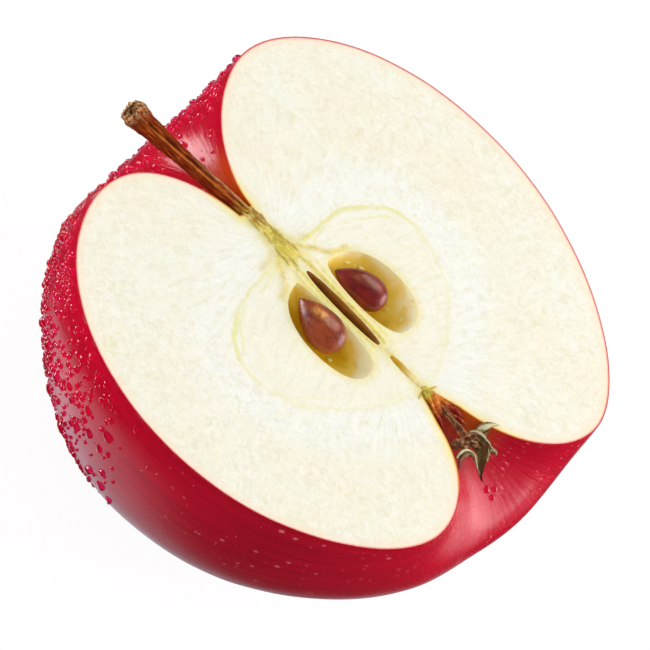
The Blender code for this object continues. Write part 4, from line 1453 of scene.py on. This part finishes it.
# ---------------------------------------------------------------- floor, light and camera
def build_floor():
    """A large round floor at the height the part rests on."""
    rings, sides = 24, 96
    turn = ring_turns(sides)
    points = [(0.0, 0.0, 0.0)]
    for ring in range(1, rings + 1):
        radius = FLOOR_RADIUS * (ring / rings) ** 2
        points += [(radius * math.cos(a), radius * math.sin(a), 0.0) for a in turn]
    faces = [(0, 1 + i, 1 + (i + 1) % sides) for i in range(sides)]
    for ring in range(rings - 1):
        faces += ring_faces(sides, 1 + (ring + 1) * sides, 1 + ring * sides)
    mesh = bpy.data.meshes.new("floor")
    mesh.from_pydata(points, [], [f[::-1] if len(f) == 4 else f for f in faces])
    mesh.materials.append(floor_material())
    floor = bpy.data.objects.new("floor", mesh)
    bpy.context.scene.collection.objects.link(floor)
    floor.visible_glossy = False
    floor.visible_diffuse = False
    floor.visible_shadow = False


def build_world():
    """A bright studio: light above and dim below, with its own view for mirrors, water and the camera."""
    world = bpy.data.worlds.new("studio")
    bpy.context.scene.world = world
    s = Shader(world)
    direction = s.add("TexCoord").outputs["Generated"]
    upward = s.split(direction)[2]
    around = s.step(upward, *WORLD_EDGE, WORLD_BELOW, WORLD_ABOVE)
    reflected = (WORLD_REFLECTED, WORLD_REFLECTED, WORLD_REFLECTED, 1.0)
    for colour, edges in WORLD_GLOWS:
        glow = 1.0
        for way, start, full in edges:
            toward = s.add("VectorMath", {0: direction, 1: way}, operation="DOT_PRODUCT").outputs["Value"]
            glow = s.step(toward, start, full) * glow
        reflected = s.mix(glow, reflected, (*colour, 1.0))
    path = s.add("LightPath").outputs
    level = s.mix(path["Is Glossy Ray"], s.vector(around, around, around), reflected)
    level = s.mix(path["Is Transmission Ray"], level, WORLD_THROUGH_WATER)
    level = s.mix(path["Is Camera Ray"], level, (1.0, 1.0, 1.0, 1.0))
    background = s.add("Background", {"Color": level, "Strength": 1.0}).outputs[0]
    s.add("OutputWorld", {"Surface": background})


def build_softbox(name, way, distance, width, height, radiance, lights, glints):
    """A soft box that faces the fruit, given by the direction it stands in and how bright it looks."""
    lamp = bpy.data.lights.new(name, "AREA")
    lamp.shape = "RECTANGLE"
    lamp.size = width
    lamp.size_y = height
    lamp.energy = radiance * math.pi * width * height
    box = bpy.data.objects.new(name, lamp)
    bpy.context.scene.collection.objects.link(box)
    middle = Vector(to_frame((0, 0, -15)))
    way = Vector(way).normalized()
    box.location = middle + way * distance
    box.rotation_euler = way.to_track_quat("Z", "Y").to_euler()
    box.visible_diffuse = lights
    box.visible_glossy = glints
    box.visible_transmission = glints


def build_camera():
    """A long lens that looks down on the cut face, turned so that the stem points to the upper left."""
    data = bpy.data.cameras.new("camera")
    data.sensor_width = 36
    data.lens = CAMERA_LENS
    data.clip_start = 0.01
    data.clip_end = 100
    camera = bpy.data.objects.new("camera", data)
    bpy.context.scene.collection.objects.link(camera)
    tilt, swing, roll = CAMERA_TILT, CAMERA_SWING, CAMERA_ROLL
    back = Vector((math.sin(swing), -math.sin(tilt) * math.cos(swing), math.cos(tilt) * math.cos(swing)))
    level = Vector((math.cos(swing), math.sin(tilt) * math.sin(swing), -math.cos(tilt) * math.sin(swing)))
    rise = Vector((0.0, math.cos(tilt), math.sin(tilt)))
    right = math.cos(roll) * level + math.sin(roll) * rise
    up = -math.sin(roll) * level + math.cos(roll) * rise
    matrix = Matrix((right, up, back)).transposed().to_4x4()
    matrix.translation = Vector(to_frame(CAMERA_TARGET)) + back * CAMERA_DISTANCE
    camera.matrix_world = matrix
    bpy.context.scene.camera = camera


build_floor()
build_world()
for softbox in SOFTBOXES:
    build_softbox(*softbox)
build_camera()
bpy.context.scene.view_settings.view_transform = "Standard"
